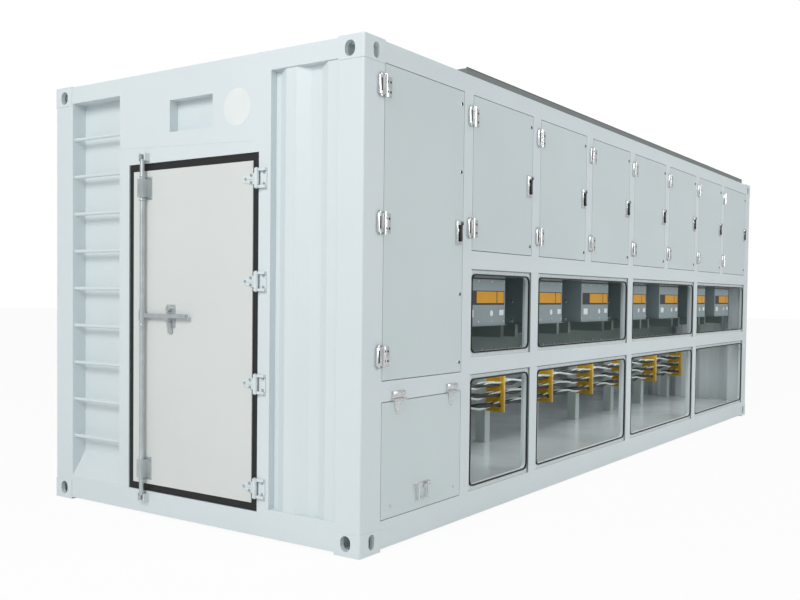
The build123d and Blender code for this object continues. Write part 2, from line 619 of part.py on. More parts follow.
def rounded_column(u, z, v, radius, offset=0.0):
    """A rounded rectangle in the side's plane, grown by offset, run between two v."""
    reach = radius + offset
    points = []
    for turn, u_end, z_end in ((0, u[1], z[1]), (1, u[0], z[1]), (2, u[0], z[0]), (3, u[1], z[0])):
        centre_u = u_end - radius * (1 if turn in (0, 3) else -1)
        centre_z = z_end - radius * (1 if turn in (0, 1) else -1)
        for step in range(CORNER_STEPS + 1):
            angle = pi / 2 * (turn + step / CORNER_STEPS)
            points.append((centre_u + reach * cos(angle), centre_z + reach * sin(angle)))
    return prism_v(points, v)


def window_hole(u, z):
    """The clear hole inside one opening's sheet."""
    return ((u[0] + WINDOW_MARGIN_SIDE, u[1] - WINDOW_MARGIN_SIDE),
            (z[0] + WINDOW_MARGIN_END, z[1] - WINDOW_MARGIN_END))


def window_frames():
    """A set-back sheet in each opening, its rounded hole turned in by a return flange."""
    frames = []
    front = FACE_V + WINDOW_SETBACK
    for u, z in window_openings():
        hole_u, hole_z = window_hole(u, z)
        sheet = block(u, (front, front + WINDOW_SHEET), z)
        flange = rounded_column(hole_u, hole_z, (front, front + WINDOW_RETURN), WINDOW_ROUND, WINDOW_SHEET)
        hole = rounded_column(hole_u, hole_z, (front - 1, front + WINDOW_RETURN + 1), WINDOW_ROUND)
        frames.append(sheet + flange - hole)
    return frames


def window_seals():
    """Rubber bead on the front edge of each window's hole."""
    beads = []
    front = FACE_V + WINDOW_SETBACK
    for u, z in window_openings():
        hole_u, hole_z = window_hole(u, z)
        bead = rounded_column(hole_u, hole_z, (front - BEAD, front), WINDOW_ROUND, BEAD)
        beads.append(bead - rounded_column(hole_u, hole_z, (front - BEAD - 1, front + 1), WINDOW_ROUND))
    return beads


def hinge_axis_u(edge):
    """u of a side hinge's axis for a leaf whose opening starts at edge."""
    return edge - HINGE_RADIUS / 2


def knuckle(u, z, height):
    return at(u, FACE_V - HINGE_PROUD, z) * drum(HINGE_RADIUS, height)


def fixed_hinge(u, z):
    """Leaf on the frame, left of the axis, with a knuckle above and below the door's."""
    half = HINGE_FIXED_HEIGHT / 2
    end = half - HINGE_KNUCKLE / 2 - FACE_CLEARANCE
    plate = block((u - HINGE_LEAF_WIDTH, u - HINGE_RADIUS - 1), (FACE_V - HINGE_PLATE, FACE_V), (z - half, z + half))
    body = plate
    for side in (-1, 1):
        middle = z + side * (half - end / 2)
        tongue = block((u - HINGE_RADIUS - 1, u), (FACE_V - HINGE_PLATE, FACE_V),
                       (middle - end / 2, middle + end / 2))
        body = body + tongue + knuckle(u, middle, end)
    return body


def moving_hinge(u, z):
    """Leaf on the door, right of the axis, with the middle knuckle."""
    plate = block((u + HINGE_RADIUS + 1, u + HINGE_LEAF_WIDTH), (FACE_V - HINGE_PLATE, FACE_V),
                  (z - HINGE_MOVING_HEIGHT / 2, z + HINGE_MOVING_HEIGHT / 2))
    tongue = block((u, u + HINGE_RADIUS + 1), (FACE_V - HINGE_PLATE, FACE_V - 1),
                   (z - HINGE_KNUCKLE / 2, z + HINGE_KNUCKLE / 2))
    return plate + tongue + knuckle(u, z, HINGE_KNUCKLE)


def hatch_axis_z():
    return HATCH_HIGH + HINGE_RADIUS / 2


def lying_knuckle(u, length):
    """A knuckle lying along the hatch's head."""
    return at(u, FACE_V - HINGE_PROUD, hatch_axis_z()) * (Rot(0, 90, 0) * drum(HINGE_RADIUS, length))


def fixed_hatch_hinge(u):
    """Leaf above the hatch with a knuckle each side of the hatch's own."""
    z = hatch_axis_z()
    half = HINGE_FIXED_HEIGHT / 2
    end = half - HINGE_KNUCKLE / 2 - FACE_CLEARANCE
    v = (FACE_V - HINGE_PLATE, FACE_V)
    body = block((u - half, u + half), v, (z + HINGE_RADIUS + 1, z + HINGE_LEAF_WIDTH))
    for side in (-1, 1):
        middle = u + side * (half - end / 2)
        tongue = block((middle - end / 2, middle + end / 2), v, (z, z + HINGE_RADIUS + 1))
        body = body + tongue + lying_knuckle(middle, end)
    return body


def moving_hatch_hinge(u):
    """Pointed leaf on the hatch, hanging from the middle knuckle."""
    z = hatch_axis_z()
    half = HINGE_KNUCKLE / 2
    low = z - 1.7 * HINGE_LEAF_WIDTH
    outline = [(u - half, z - HINGE_RADIUS - 1), (u + half, z - HINGE_RADIUS - 1),
               (u + half, z - HINGE_LEAF_WIDTH), (u + 8, low), (u - 8, low), (u - half, z - HINGE_LEAF_WIDTH)]
    plate = prism_v(outline, (FACE_V - HINGE_PLATE, FACE_V))
    tongue = block((u - half, u + half), (FACE_V - HINGE_PLATE, FACE_V - 1), (z - HINGE_RADIUS - 1, z))
    return plate + tongue + lying_knuckle(u, HINGE_KNUCKLE)


def upper_openings():
    """u limits of the seven upper door openings."""
    edges = [PILLAR_FAR]
    for boundary in BOUNDARIES[:-1]:
        edges += [boundary - MULLION / 2, boundary + MULLION / 2]
    edges.append(FAR_POST)
    return [(edges[i], edges[i + 1]) for i in range(0, len(edges), 2)]


def side_hinge_leaves():
    """All hinge leaves that the window side's frame carries."""
    leaves = [fixed_hinge(hinge_axis_u(CASTING_U), z) for z in TALL_HINGE_Z]
    for u, _ in upper_openings():
        leaves += [fixed_hinge(hinge_axis_u(u), z) for z in UPPER_HINGE_Z]
    return leaves + [fixed_hatch_hinge(u) for u in HATCH_HINGE_U]


def lock_base(u, z):
    """Lock housing on a side leaf: a plate with two cheeks that carry the lever."""
    half_w, half_h = LOCK_WIDTH / 2, LOCK_HEIGHT / 2
    body = block((u - half_w, u + half_w), (FACE_V - LOCK_BASE, FACE_V), (z - half_h, z + half_h))
    cheek_v = (FACE_V - LOCK_BASE - LEVER_THICKNESS - 2, FACE_V - LOCK_BASE)
    for side in (-1, 1):
        inner = LEVER_WIDTH / 2 + FACE_CLEARANCE
        edge = sorted((u + side * inner, u + side * (inner + 6)))
        body += block(edge, cheek_v, (z + half_h - 26, z + half_h - 4))
    return body


def lever_pivot(z):
    """(v, z) of a lock lever's pivot."""
    return FACE_V - LOCK_BASE - LEVER_THICKNESS / 2 - 1, z + LOCK_HEIGHT / 2 - 15


def lock_lever(u, z):
    """Lift-up lever, hinged at its head between the housing's cheeks."""
    pivot_v, pivot_z = lever_pivot(z)
    v = (pivot_v - LEVER_THICKNESS / 2, pivot_v + LEVER_THICKNESS / 2)
    body = block((u - LEVER_WIDTH / 2, u + LEVER_WIDTH / 2), v, (pivot_z - LEVER_LENGTH, pivot_z))
    return body + at(u, pivot_v, pivot_z) * Rot(0, 90, 0) * drum(LEVER_THICKNESS / 2, LEVER_WIDTH)


def side_leaf(u, z):
    """A flush tray leaf in an opening of the window side."""
    clear_u = (u[0] + DOOR_GAP, u[1] - DOOR_GAP)
    clear_z = (z[0] + DOOR_GAP, z[1] - DOOR_GAP)
    return tray(clear_u, (FACE_V, FACE_V + SIDE_LEAF_THICKNESS), clear_z, "v")


def upper_door(index):
    """Upper door leaf with its two hinge leaves and its lock housing."""
    u = upper_openings()[index]
    hinges = [moving_hinge(hinge_axis_u(u[0]), z) for z in UPPER_HINGE_Z]
    return [side_leaf(u, (UPPER_DOOR_LOW, SIDE_HEAD)), *hinges, lock_base(u[1] - LOCK_INSET, UPPER_LOCK_Z)]


def tall_door():
    """Tall side door leaf with its three hinge leaves and its lock housing."""
    u = (CASTING_U, PILLAR_NEAR)
    hinges = [moving_hinge(hinge_axis_u(u[0]), z) for z in TALL_HINGE_Z]
    return [side_leaf(u, (TALL_DOOR_LOW, SIDE_HEAD)), *hinges, lock_base(u[1] - LOCK_INSET, TALL_LOCK_Z)]


def hatch():
    """Cable hatch leaf with its two hinge leaves and the ears of its bail handle."""
    leaf = side_leaf((CASTING_U, PILLAR_NEAR), (SIDE_SILL_TOP, HATCH_HIGH))
    ears = []
    for side in (-1, 1):
        middle = BAIL_U + side * BAIL_WIDTH / 2
        ear = block((middle - EAR_WIDTH / 2, middle + EAR_WIDTH / 2), (FACE_V - BAIL_PROUD - 9, FACE_V),
                    (BAIL_Z - 11, BAIL_Z + 11))
        bore = at(middle, FACE_V - BAIL_PROUD, BAIL_Z) * (
            Rot(0, 90, 0) * Cylinder(BAIL_RADIUS + RUNNING_CLEARANCE, 2 * EAR_WIDTH))
        ears.append(ear - bore)
    return [leaf, *[moving_hatch_hinge(u) for u in HATCH_HINGE_U], *ears]


def hatch_bail():
    """Drop handle: a grip, two arms, and a stub on each arm through its ear."""
    v = FACE_V - BAIL_PROUD
    inner = BAIL_WIDTH / 2 - EAR_WIDTH / 2 - BAIL_RADIUS - 1
    stub = EAR_WIDTH + BAIL_RADIUS + 1
    lying = Rot(0, 90, 0)
    body = at(BAIL_U, v, BAIL_Z - BAIL_DROP) * lying * drum(BAIL_RADIUS, 2 * inner)
    for side in (-1, 1):
        arm_u = BAIL_U + side * inner
        body += at(arm_u, v, BAIL_Z - BAIL_DROP / 2) * drum(BAIL_RADIUS, BAIL_DROP + 2 * BAIL_RADIUS)
        body += at(arm_u + side * stub / 2, v, BAIL_Z) * lying * Cylinder(BAIL_RADIUS, stub)
    return [body]


# ---------------------------------------------------------------- inside
def support_frame():
    """Bulkhead behind the door end, posts at the module boundaries, two beams and the modules' bearers."""
    wall = (BULKHEAD_U, BULKHEAD_U + CASING_WALL)
    members = [block(wall, (SIDE_IN, BACK_IN), (FLOOR_TOP, SIDE_HEAD)),
               block(wall, (SIDE_IN, WIDTH - SIDE_IN), (SIDE_HEAD, FRAME_TOP - ROOF_THICKNESS))]
    for boundary in BOUNDARIES:
        u = (boundary - POST_SIZE / 2, boundary + POST_SIZE / 2)
        members.append(block(u, (POST_V, POST_V + POST_SIZE), (FLOOR_TOP, BEAM_LOW)))
    beam_u = (BULKHEAD_U + CASING_WALL, LENGTH - WAVE_INSET - WAVE_DEPTH - SHEET)
    members.append(block(beam_u, (POST_V, POST_V + POST_SIZE), (BEAM_LOW, BEAM_HIGH)))
    members.append(block((beam_u[0], FAR_POST), (BACK_IN - POST_SIZE, BACK_IN), (BEAM_LOW, BEAM_HIGH)))
    for u0, u1 in casings():
        for u in ((u0, u0 + BEARER_WIDTH), (u1 - BEARER_WIDTH, u1)):
            members.append(block(u, (CASING_SETBACK, BACK_IN), (BEAM_HIGH, CASING_LOW)))
    return members


def casings():
    """u limits of the seven resistor casings."""
    return [(b - MODULE_PITCH + CASING_LEFT, b - CASING_RIGHT) for b in BOUNDARIES]


def resistor_casings():
    """Four sheet walls round each module, open below to the fan and above to the exhaust."""
    walls = []
    z = (CASING_LOW, CASING_HIGH)
    back = WIDTH - CASING_SETBACK
    for u0, u1 in casings():
        walls.append(block((u0, u1), (CASING_SETBACK, CASING_SETBACK + CASING_WALL), z))
        walls.append(block((u0, u1), (back - CASING_WALL, back), z))
        inner = (CASING_SETBACK + CASING_WALL, back - CASING_WALL)
        walls.append(block((u0, u0 + CASING_WALL), inner, z))
        walls.append(block((u1 - CASING_WALL, u1), inner, z))
    return walls


def resistor_elements():
    """Banks of flat elements on edge, end to end between each casing's front and back."""
    elements = []
    v = (CASING_SETBACK + CASING_WALL, WIDTH - CASING_SETBACK - CASING_WALL)
    for u0, u1 in casings():
        spacing = (u1 - u0) / ELEMENT_COUNT
        for low in ELEMENT_LEVELS:
            for i in range(ELEMENT_COUNT):
                middle = u0 + spacing * (i + 0.5)
                u = (middle - ELEMENT_THICKNESS / 2, middle + ELEMENT_THICKNESS / 2)
                elements.append(block(u, v, (low, low + ELEMENT_HEIGHT)))
    return elements


def terminal_boxes():
    """Grey connection box on the front of each module, with a flange under it."""
    boxes = []
    for (u0, _), boundary in zip(casings(), BOUNDARIES):
        u = (u0, boundary - BOX_RIGHT)
        body = block(u, (BOX_FRONT, CASING_SETBACK), (CASING_LOW + 2, BOX_HIGH))
        flange = block((u[0] - BOX_FLANGE, u[1] + BOX_FLANGE), (BOX_FRONT - BOX_FLANGE, CASING_SETBACK),
                       (CASING_LOW, CASING_LOW + 2))
        boxes.append(body + flange)
    return boxes


def fan_centre(u0, u1):
    return (u0 + u1) / 2, WIDTH / 2


def fan_rotor(index):
    """Hub, pitched blades and the shaft that runs up to the motor."""
    u, v = fan_centre(*casings()[index])
    middle = FAN_LOW + FAN_HEIGHT / 2
    body = at(u, v, middle) * drum(FAN_HUB, FAN_HEIGHT, 2 * BARREL_SIDES)
    root = FAN_HUB - BLADE_ROOT
    span = FAN_RADIUS - root
    blade = Pos(root + span / 2, 0, 0) * Rot(BLADE_PITCH, 0, 0) * Box(span, BLADE_CHORD, BLADE_THICKNESS)
    for i in range(FAN_BLADES):
        body += at(u, v, middle) * Rot(0, 0, 360 / FAN_BLADES * i) * blade
    shaft_low, shaft_high = FAN_LOW + FAN_HEIGHT, MOTOR_LOW - FACE_CLEARANCE
    return [body + at(u, v, (shaft_low + shaft_high) / 2) * drum(SHAFT_RADIUS, shaft_high - shaft_low)]


def duct_ring(u, v):
    """Rolled ring round a fan, as straight segments end to end."""
    inner = (FAN_RADIUS + FAN_TIP_GAP) / cos(pi / BARREL_SIDES)
    outer = inner + DUCT_WALL
    segments = []
    for i in range(BARREL_SIDES):
        start, end = 2 * pi * i / BARREL_SIDES, 2 * pi * (i + 1) / BARREL_SIDES
        corners = [(inner, start), (outer, start), (outer, end), (inner, end)]
        points = [(u + reach * cos(angle), v + reach * sin(angle)) for reach, angle in corners]
        segments.append(prism_z(points, (DUCT_LOW, DUCT_LOW + DUCT_HEIGHT)))
    return segments


def fan_ducts():
    """Ring round each fan on a deck of four strips, and the motor under two bars."""
    pieces = []
    edge = (FAN_RADIUS + FAN_TIP_GAP) / cos(pi / BARREL_SIDES) + DUCT_WALL
    deck_z = (DUCT_LOW, DUCT_LOW + DECK_THICKNESS)
    bar_z = (MOTOR_LOW + MOTOR_HEIGHT, MOTOR_LOW + MOTOR_HEIGHT + MOTOR_BAR)
    for u0, u1 in casings():
        u, v = fan_centre(u0, u1)
        inner_u = (u0 + CASING_WALL, u1 - CASING_WALL)
        inner_v = (CASING_SETBACK + CASING_WALL, WIDTH - CASING_SETBACK - CASING_WALL)
        pieces += duct_ring(u, v)
        pieces += [block(inner_u, (inner_v[0], v - edge), deck_z), block(inner_u, (v + edge, inner_v[1]), deck_z),
                   block((inner_u[0], u - edge), (v - edge, v + edge), deck_z),
                   block((u + edge, inner_u[1]), (v - edge, v + edge), deck_z)]
        pieces.append(at(u, v, MOTOR_LOW + MOTOR_HEIGHT / 2) * drum(MOTOR_RADIUS, MOTOR_HEIGHT, 2 * BARREL_SIDES))
        for side in (-1, 1):
            bar_v = sorted((v + side * MOTOR_RADIUS / 3, v + side * (MOTOR_RADIUS / 3 + MOTOR_BAR)))
            pieces.append(block(inner_u, bar_v, bar_z))
    return pieces


def insulating_boards():
    """Boards on the posts' front faces that hold the busbars, each with a bent front edge."""
    boards = []
    for boundary in BOUNDARIES:
        near = boundary - BOARD_FLANGE / 2
        points = [(near, BOARD_FRONT), (near + BOARD_FLANGE, BOARD_FRONT),
                  (near + BOARD_FLANGE, BOARD_FRONT + BOARD_THICKNESS),
                  (near + BOARD_THICKNESS, BOARD_FRONT + BOARD_THICKNESS),
                  (near + BOARD_THICKNESS, POST_V), (near, POST_V)]
        boards.append(prism_z(points, (BOARD_LOW, BOARD_HIGH)))
    return boards


def busbars():
    """Flat bars in three phases, bolted board to board, from the bulkhead onwards."""
    bars = []
    start = BULKHEAD_U + CASING_WALL
    for boundary in BOUNDARIES:
        end = boundary - BOARD_FLANGE / 2
        for z in BUSBAR_Z:
            for v in BUSBAR_V:
                bars.append(block((start, end), (v, v + BUSBAR_THICKNESS),
                                  (z - BUSBAR_HEIGHT / 2, z + BUSBAR_HEIGHT / 2)))
        start = end + BOARD_THICKNESS
    return bars


def control_cabinet():
    """Cabinet behind the tall door, on a plinth, with an open front and rows of breakers."""
    u = (CASTING_U + CABINET_MARGIN, PILLAR_NEAR - CABINET_MARGIN)
    v = (CABINET_FRONT, CABINET_FRONT + CABINET_DEPTH)
    z = (CABINET_LOW, CABINET_HIGH)
    inside = (v[0], v[1] - CASING_WALL)
    between = (u[0] + CASING_WALL, u[1] - CASING_WALL)
    pieces = [block(u, (inside[1], v[1]), z),
              block((u[0], between[0]), inside, z),
              block((between[1], u[1]), inside, z),
              block(between, inside, (z[0], z[0] + CASING_WALL)),
              block(between, inside, (z[1] - CASING_WALL, z[1])),
              block((u[0] + 60, u[1] - 60), (v[1] - 140, v[1] - 40), (FLOOR_TOP, z[0]))]
    plate_v = inside[1] - PLATE_STANDOFF
    pieces.append(block((u[0] + 30, u[1] - 30), (plate_v, inside[1]), (z[0] + 60, z[1] - 60)))
    for row in range(BREAKER_ROWS):
        low = z[0] + BREAKER_FIRST + BREAKER_ROW_PITCH * row
        for i in range(BREAKERS_IN_ROW):
            near = u[0] + 80 + BREAKER_PITCH * i
            pieces.append(block((near, near + BREAKER_WIDTH), (plate_v - BREAKER_DEPTH, plate_v),
                                (low, low + BREAKER_HEIGHT)))
    return pieces


def supply_terminals():
    """Copper terminal bars on an insulated board behind the hatch."""
    board_v = SIDE_IN + 260
    u = (CASTING_U + 60, PILLAR_NEAR - 60)
    board = block(u, (board_v, board_v + 20), (FLOOR_TOP, HATCH_HIGH - 60))
    spacing = (u[1] - u[0]) / TERMINAL_BAR_COUNT
    pieces = [board]
    for i in range(TERMINAL_BAR_COUNT):
        middle = u[0] + spacing * (i + 0.5)
        bar_u = (middle - TERMINAL_BAR_WIDTH / 2, middle + TERMINAL_BAR_WIDTH / 2)
        pieces.append(block(bar_u, (board_v - 12, board_v), (FLOOR_TOP + 90, HATCH_HIGH - 110)))
    return pieces


# ---------------------------------------------------------------- roof exhaust
def exhaust_coaming():
    """Upstand round the exhaust opening, standing on the top rails."""
    long_side = block((PILLAR_FAR, FAR_POST), (COAMING_V, COAMING_V + COAMING_WALL), (FRAME_TOP, COAMING_TOP))
    inner = (COAMING_V + COAMING_WALL, WIDTH - COAMING_V - COAMING_WALL)
    near = block((PILLAR_FAR, PILLAR_FAR + COAMING_WALL), inner, (FRAME_TOP, COAMING_TOP))
    far = block((FAR_POST - COAMING_WALL, FAR_POST), inner, (FRAME_TOP, COAMING_TOP))
    return [long_side, mirror(long_side, about=Plane.XZ), near, far]


def exhaust_louvres():
    """Capping strips on the upstand, and tilted blades across the opening over each module."""
    cap = (COAMING_TOP, COAMING_TOP + COAMING_TRIM)
    inner = (COAMING_V + COAMING_WALL, WIDTH - COAMING_V - COAMING_WALL)
    strip = block((PILLAR_FAR, FAR_POST), (COAMING_V, inner[0]), cap)
    pieces = [strip, mirror(strip, about=Plane.XZ)]
    middle_z = (FRAME_TOP + COAMING_TOP) / 2
    total = LOUVRE_COUNT * MODULE_COUNT
    spacing = (FAR_POST - PILLAR_FAR) / total
    blade = Rot(0, LOUVRE_TILT, 0) * Box(LOUVRE_CHORD, inner[1] - inner[0], LOUVRE_THICKNESS)
    for i in range(total):
        pieces.append(at(PILLAR_FAR + spacing * (i + 0.5), WIDTH / 2, middle_z) * blade)
    return pieces


# ---------------------------------------------------------------- the nodes
def build_nodes():
    nodes = {
        "corner_castings": corner_castings(),
        "corner_posts": corner_posts(),
        "bottom_frame": bottom_frame(),
        "top_frame": top_frame(),
        "floor_plate": floor_plate(),
        "roof_panel": roof_panel(),
        "back_wall": back_wall(),
        "far_end_wall": far_end_wall(),
        "door_end_frame": door_end_frame(),
        "end_recesses": end_recesses(),
        "ladder_rungs": ladder_rungs(),
        "end_corrugated_panel": end_corrugated_panel(),
        "frame_hardware": frame_hardware(),
        "side_frame": side_frame(),
        "window_frames": window_frames(),
        "window_seals": window_seals(),
        "side_hinge_leaves": side_hinge_leaves(),
        "support_frame": support_frame(),
        "resistor_casings": resistor_casings(),
        "resistor_elements": resistor_elements(),
        "terminal_boxes": terminal_boxes(),
        "fan_ducts": fan_ducts(),
        "insulating_boards": insulating_boards(),
        "busbars": busbars(),
        "control_cabinet": control_cabinet(),
        "supply_terminals": supply_terminals(),
        "exhaust_coaming": exhaust_coaming(),
        "exhaust_louvres": exhaust_louvres(),
        "main_door_leaf": main_door_leaf(),
        "main_door_seal": main_door_seal(),
        "main_door_hinge_blades": [main_hinge_blade(z) for z in MAIN_HINGE_Z],
        "rod_guides": rod_guides(),
        "lock_rod": lock_rod(),
        "lock_handle": lock_handle(),
        "handle_hasp": handle_hasp(),
        "tall_door": tall_door(),
        "tall_door_lever": [lock_lever(PILLAR_NEAR - LOCK_INSET, TALL_LOCK_Z)],
        "cable_hatch": hatch(),
        "hatch_bail": hatch_bail(),
    }
    for i, (_, far) in enumerate(upper_openings()):
        nodes[f"upper_door_{i + 1}"] = upper_door(i)
        nodes[f"upper_lever_{i + 1}"] = [lock_lever(far - LOCK_INSET, UPPER_LOCK_Z)]
        nodes[f"fan_rotor_{i + 1}"] = fan_rotor(i)
    return nodes


def main():
    os.makedirs("parts", exist_ok=True)
    for name, solids in build_nodes().items():
        node = Compound(children=[s for solid in solids for s in solid.solids()])
        node.label = name
        export_step(node, f"parts/{name}.step")


main()
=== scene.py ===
import json
import math
import random

import bmesh
import bpy
from mathutils import Matrix, Vector


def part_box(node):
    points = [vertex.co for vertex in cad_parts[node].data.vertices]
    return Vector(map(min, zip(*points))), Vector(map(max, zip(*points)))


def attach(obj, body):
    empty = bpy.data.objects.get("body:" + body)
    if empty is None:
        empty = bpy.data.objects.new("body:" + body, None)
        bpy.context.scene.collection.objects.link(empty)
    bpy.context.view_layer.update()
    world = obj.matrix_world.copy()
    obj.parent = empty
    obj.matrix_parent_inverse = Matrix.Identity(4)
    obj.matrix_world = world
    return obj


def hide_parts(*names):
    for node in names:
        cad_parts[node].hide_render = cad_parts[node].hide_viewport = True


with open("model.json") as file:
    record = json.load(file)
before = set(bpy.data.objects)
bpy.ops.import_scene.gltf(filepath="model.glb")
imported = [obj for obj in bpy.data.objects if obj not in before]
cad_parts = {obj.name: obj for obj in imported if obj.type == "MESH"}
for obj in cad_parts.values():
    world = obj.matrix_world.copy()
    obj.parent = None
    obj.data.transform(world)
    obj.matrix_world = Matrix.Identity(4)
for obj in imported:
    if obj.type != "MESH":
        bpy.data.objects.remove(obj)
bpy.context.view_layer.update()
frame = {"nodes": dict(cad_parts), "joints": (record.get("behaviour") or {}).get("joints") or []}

NODES = frame["nodes"]
JOINTS = {joint["name"]: joint for joint in frame["joints"]}
MODULES = 7
CAD_EDGE_ANGLE = 28        # degrees past which an edge stays sharp
PIECE_EDGE_ANGLE = 32
random.seed(7)


# ------------------------------------------------------------------ places read from the frame
def islands(node):
    """The separate solids of a CAD node as (low, high, face numbers), largest box first."""
    mesh = NODES[node].data
    keys = [tuple(round(c, 5) for c in vertex.co) for vertex in mesh.vertices]
    root = {key: key for key in keys}

    def find(key):
        while root[key] != key:
            root[key] = root[root[key]]
            key = root[key]
        return key

    for face in mesh.polygons:
        first = find(keys[face.vertices[0]])
        for number in face.vertices[1:]:
            root[find(keys[number])] = first
    groups = {}
    for face in mesh.polygons:
        groups.setdefault(find(keys[face.vertices[0]]), []).append(face.index)
    found = []
    for faces in groups.values():
        points = [mesh.vertices[i].co for f in faces for i in mesh.polygons[f].vertices]
        low = Vector([min(p[k] for p in points) for k in range(3)])
        high = Vector([max(p[k] for p in points) for k in range(3)])
        found.append((low, high, faces))
    found.sort(key=lambda item: -(item[1] - item[0]).length)
    return found


def joint_place(name):
    return Vector(JOINTS[name]["pos_m"])


SHELL_LOW, SHELL_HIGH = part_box("corner_castings")
END_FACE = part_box("door_end_frame")[0].x
SIDE_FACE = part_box("side_frame")[0].y
FLOOR_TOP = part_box("floor_plate")[1].z


# ------------------------------------------------------------------ materials
def srgb(red, green, blue):
    """Linear colour from display values out of 255."""
    linear = []
    for value in (red, green, blue):
        share = value / 255
        linear.append(share / 12.92 if share <= 0.04045 else ((share + 0.055) / 1.055) ** 2.4)
    return (*linear, 1.0)


def surface(name, colour, rough, metal=0.0, shift=0.05, size=2.0, grain=0.0, grain_size=300.0, coat=0.0):
    """A surface whose colour drifts by shift over patches of size, with a fine grain in relief."""
    material = bpy.data.materials.new(name)
    material.use_nodes = True
    nodes, links = material.node_tree.nodes, material.node_tree.links
    shader = nodes["Principled BSDF"]
    place = nodes.new("ShaderNodeTexCoord")
    patches = nodes.new("ShaderNodeTexNoise")
    patches.inputs["Scale"].default_value = size
    patches.inputs["Detail"].default_value = 6.0
    links.new(place.outputs["Object"], patches.inputs["Vector"])
    ramp = nodes.new("ShaderNodeValToRGB")
    ramp.color_ramp.elements[0].position = 0.3
    ramp.color_ramp.elements[1].position = 0.7
    ramp.color_ramp.elements[0].color = (*[c * (1 - shift) for c in colour[:3]], 1)
    ramp.color_ramp.elements[1].color = (*[min(1.0, c * (1 + shift)) for c in colour[:3]], 1)
    links.new(patches.outputs["Fac"], ramp.inputs["Fac"])
    links.new(ramp.outputs["Color"], shader.inputs["Base Color"])
    spread = nodes.new("ShaderNodeMapRange")
    spread.inputs["To Min"].default_value = max(0.02, rough - 0.06)
    spread.inputs["To Max"].default_value = min(1.0, rough + 0.06)
    links.new(patches.outputs["Fac"], spread.inputs["Value"])
    links.new(spread.outputs["Result"], shader.inputs["Roughness"])
    shader.inputs["Metallic"].default_value = metal
    shader.inputs["Coat Weight"].default_value = coat
    if grain:
        fine = nodes.new("ShaderNodeTexNoise")
        fine.inputs["Scale"].default_value = grain_size
        links.new(place.outputs["Object"], fine.inputs["Vector"])
        relief = nodes.new("ShaderNodeBump")
        relief.inputs["Strength"].default_value = grain
        relief.inputs["Distance"].default_value = 0.001
        links.new(fine.outputs["Fac"], relief.inputs["Height"])
        links.new(relief.outputs["Normal"], shader.inputs["Normal"])
    return material


SHELL = surface("shell_enamel", srgb(212, 221, 223), 0.42,
                shift=0.018, size=1.3, grain=0.10, grain_size=420, coat=0.12)
LEAF = surface("leaf_enamel", srgb(211, 215, 212), 0.36,
               shift=0.015, size=1.7, grain=0.07, grain_size=420, coat=0.15)
SIDE_LEAF = surface("side_leaf_enamel", srgb(203, 214, 215), 0.38,
                    shift=0.018, size=1.5, grain=0.07, coat=0.12)
LINING = surface("lining_enamel", srgb(196, 206, 202), 0.5, shift=0.03, size=1.6, grain=0.05)
FLOOR = surface("floor_enamel", srgb(206, 215, 217), 0.22, shift=0.06, size=2.4, grain=0.05, coat=0.25)
FRAME = surface("frame_enamel", srgb(112, 126, 122), 0.45, shift=0.05, size=3.0, grain=0.06)
POST = surface("post_enamel", srgb(176, 187, 184), 0.45, shift=0.04, size=3.0, grain=0.06)
MODULE = surface("module_enamel", srgb(136, 150, 153), 0.40, shift=0.03, size=3.0, grain=0.06, coat=0.1)
BAND = surface("band_enamel", srgb(212, 150, 8), 0.40, shift=0.05, size=6.0, grain=0.04)
DARK_BAND = surface("band_dark", srgb(42, 40, 36), 0.42, shift=0.08, size=6.0, grain=0.04)
PLATE = surface("plain_plate", srgb(222, 228, 226), 0.45, shift=0.02, size=8.0, grain=0.03)
BOARD = surface("board_resin", srgb(186, 146, 14), 0.42, shift=0.10, size=9.0, grain=0.10, grain_size=160)
BOARD_EDGE = surface("board_edge", srgb(206, 172, 104), 0.5,
                     shift=0.08, size=14.0, grain=0.12, grain_size=200)
RUBBER = surface("seal_rubber", srgb(24, 25, 26), 0.62, shift=0.15, size=12.0, grain=0.15, grain_size=260)
SLEEVE = surface("sleeve_black", srgb(30, 31, 33), 0.40, shift=0.15, size=8.0, grain=0.06)
CABLE = surface("cable_black", srgb(26, 27, 29), 0.46, shift=0.15, size=10.0, grain=0.08)
STEEL = surface("galvanised", srgb(196, 202, 203), 0.36, metal=0.7,
                shift=0.10, size=16.0, grain=0.10, grain_size=120)
ZINC = surface("zinc_fastener", srgb(196, 200, 200), 0.28, metal=0.9, shift=0.06, size=30.0, grain=0.05)
CHROME = surface("stainless", srgb(224, 226, 226), 0.2, metal=0.92,
                 shift=0.04, size=20.0, grain=0.03, grain_size=160)
LEVER = surface("lever_black", srgb(28, 29, 31), 0.40, shift=0.12, size=20.0, grain=0.10, grain_size=260)
COPPER = surface("copper_bar", srgb(196, 122, 84), 0.34, metal=0.9, shift=0.10, size=10.0, grain=0.05)
LOUVRE = surface("louvre_enamel", srgb(120, 126, 124), 0.48, shift=0.05, size=4.0, grain=0.06)
TRIM = surface("trim_brown", srgb(66, 58, 52), 0.5, shift=0.10, size=8.0, grain=0.06)
ALUMINIUM = surface("cast_aluminium", srgb(178, 182, 184), 0.4, metal=0.9,
                    shift=0.06, size=9.0, grain=0.10, grain_size=150)
ELEMENT = surface("element_alloy", srgb(150, 146, 140), 0.42, metal=0.9, shift=0.12, size=12.0, grain=0.06)
BREAKER = surface("breaker_case", srgb(52, 54, 57), 0.5, shift=0.08, size=12.0, grain=0.06)


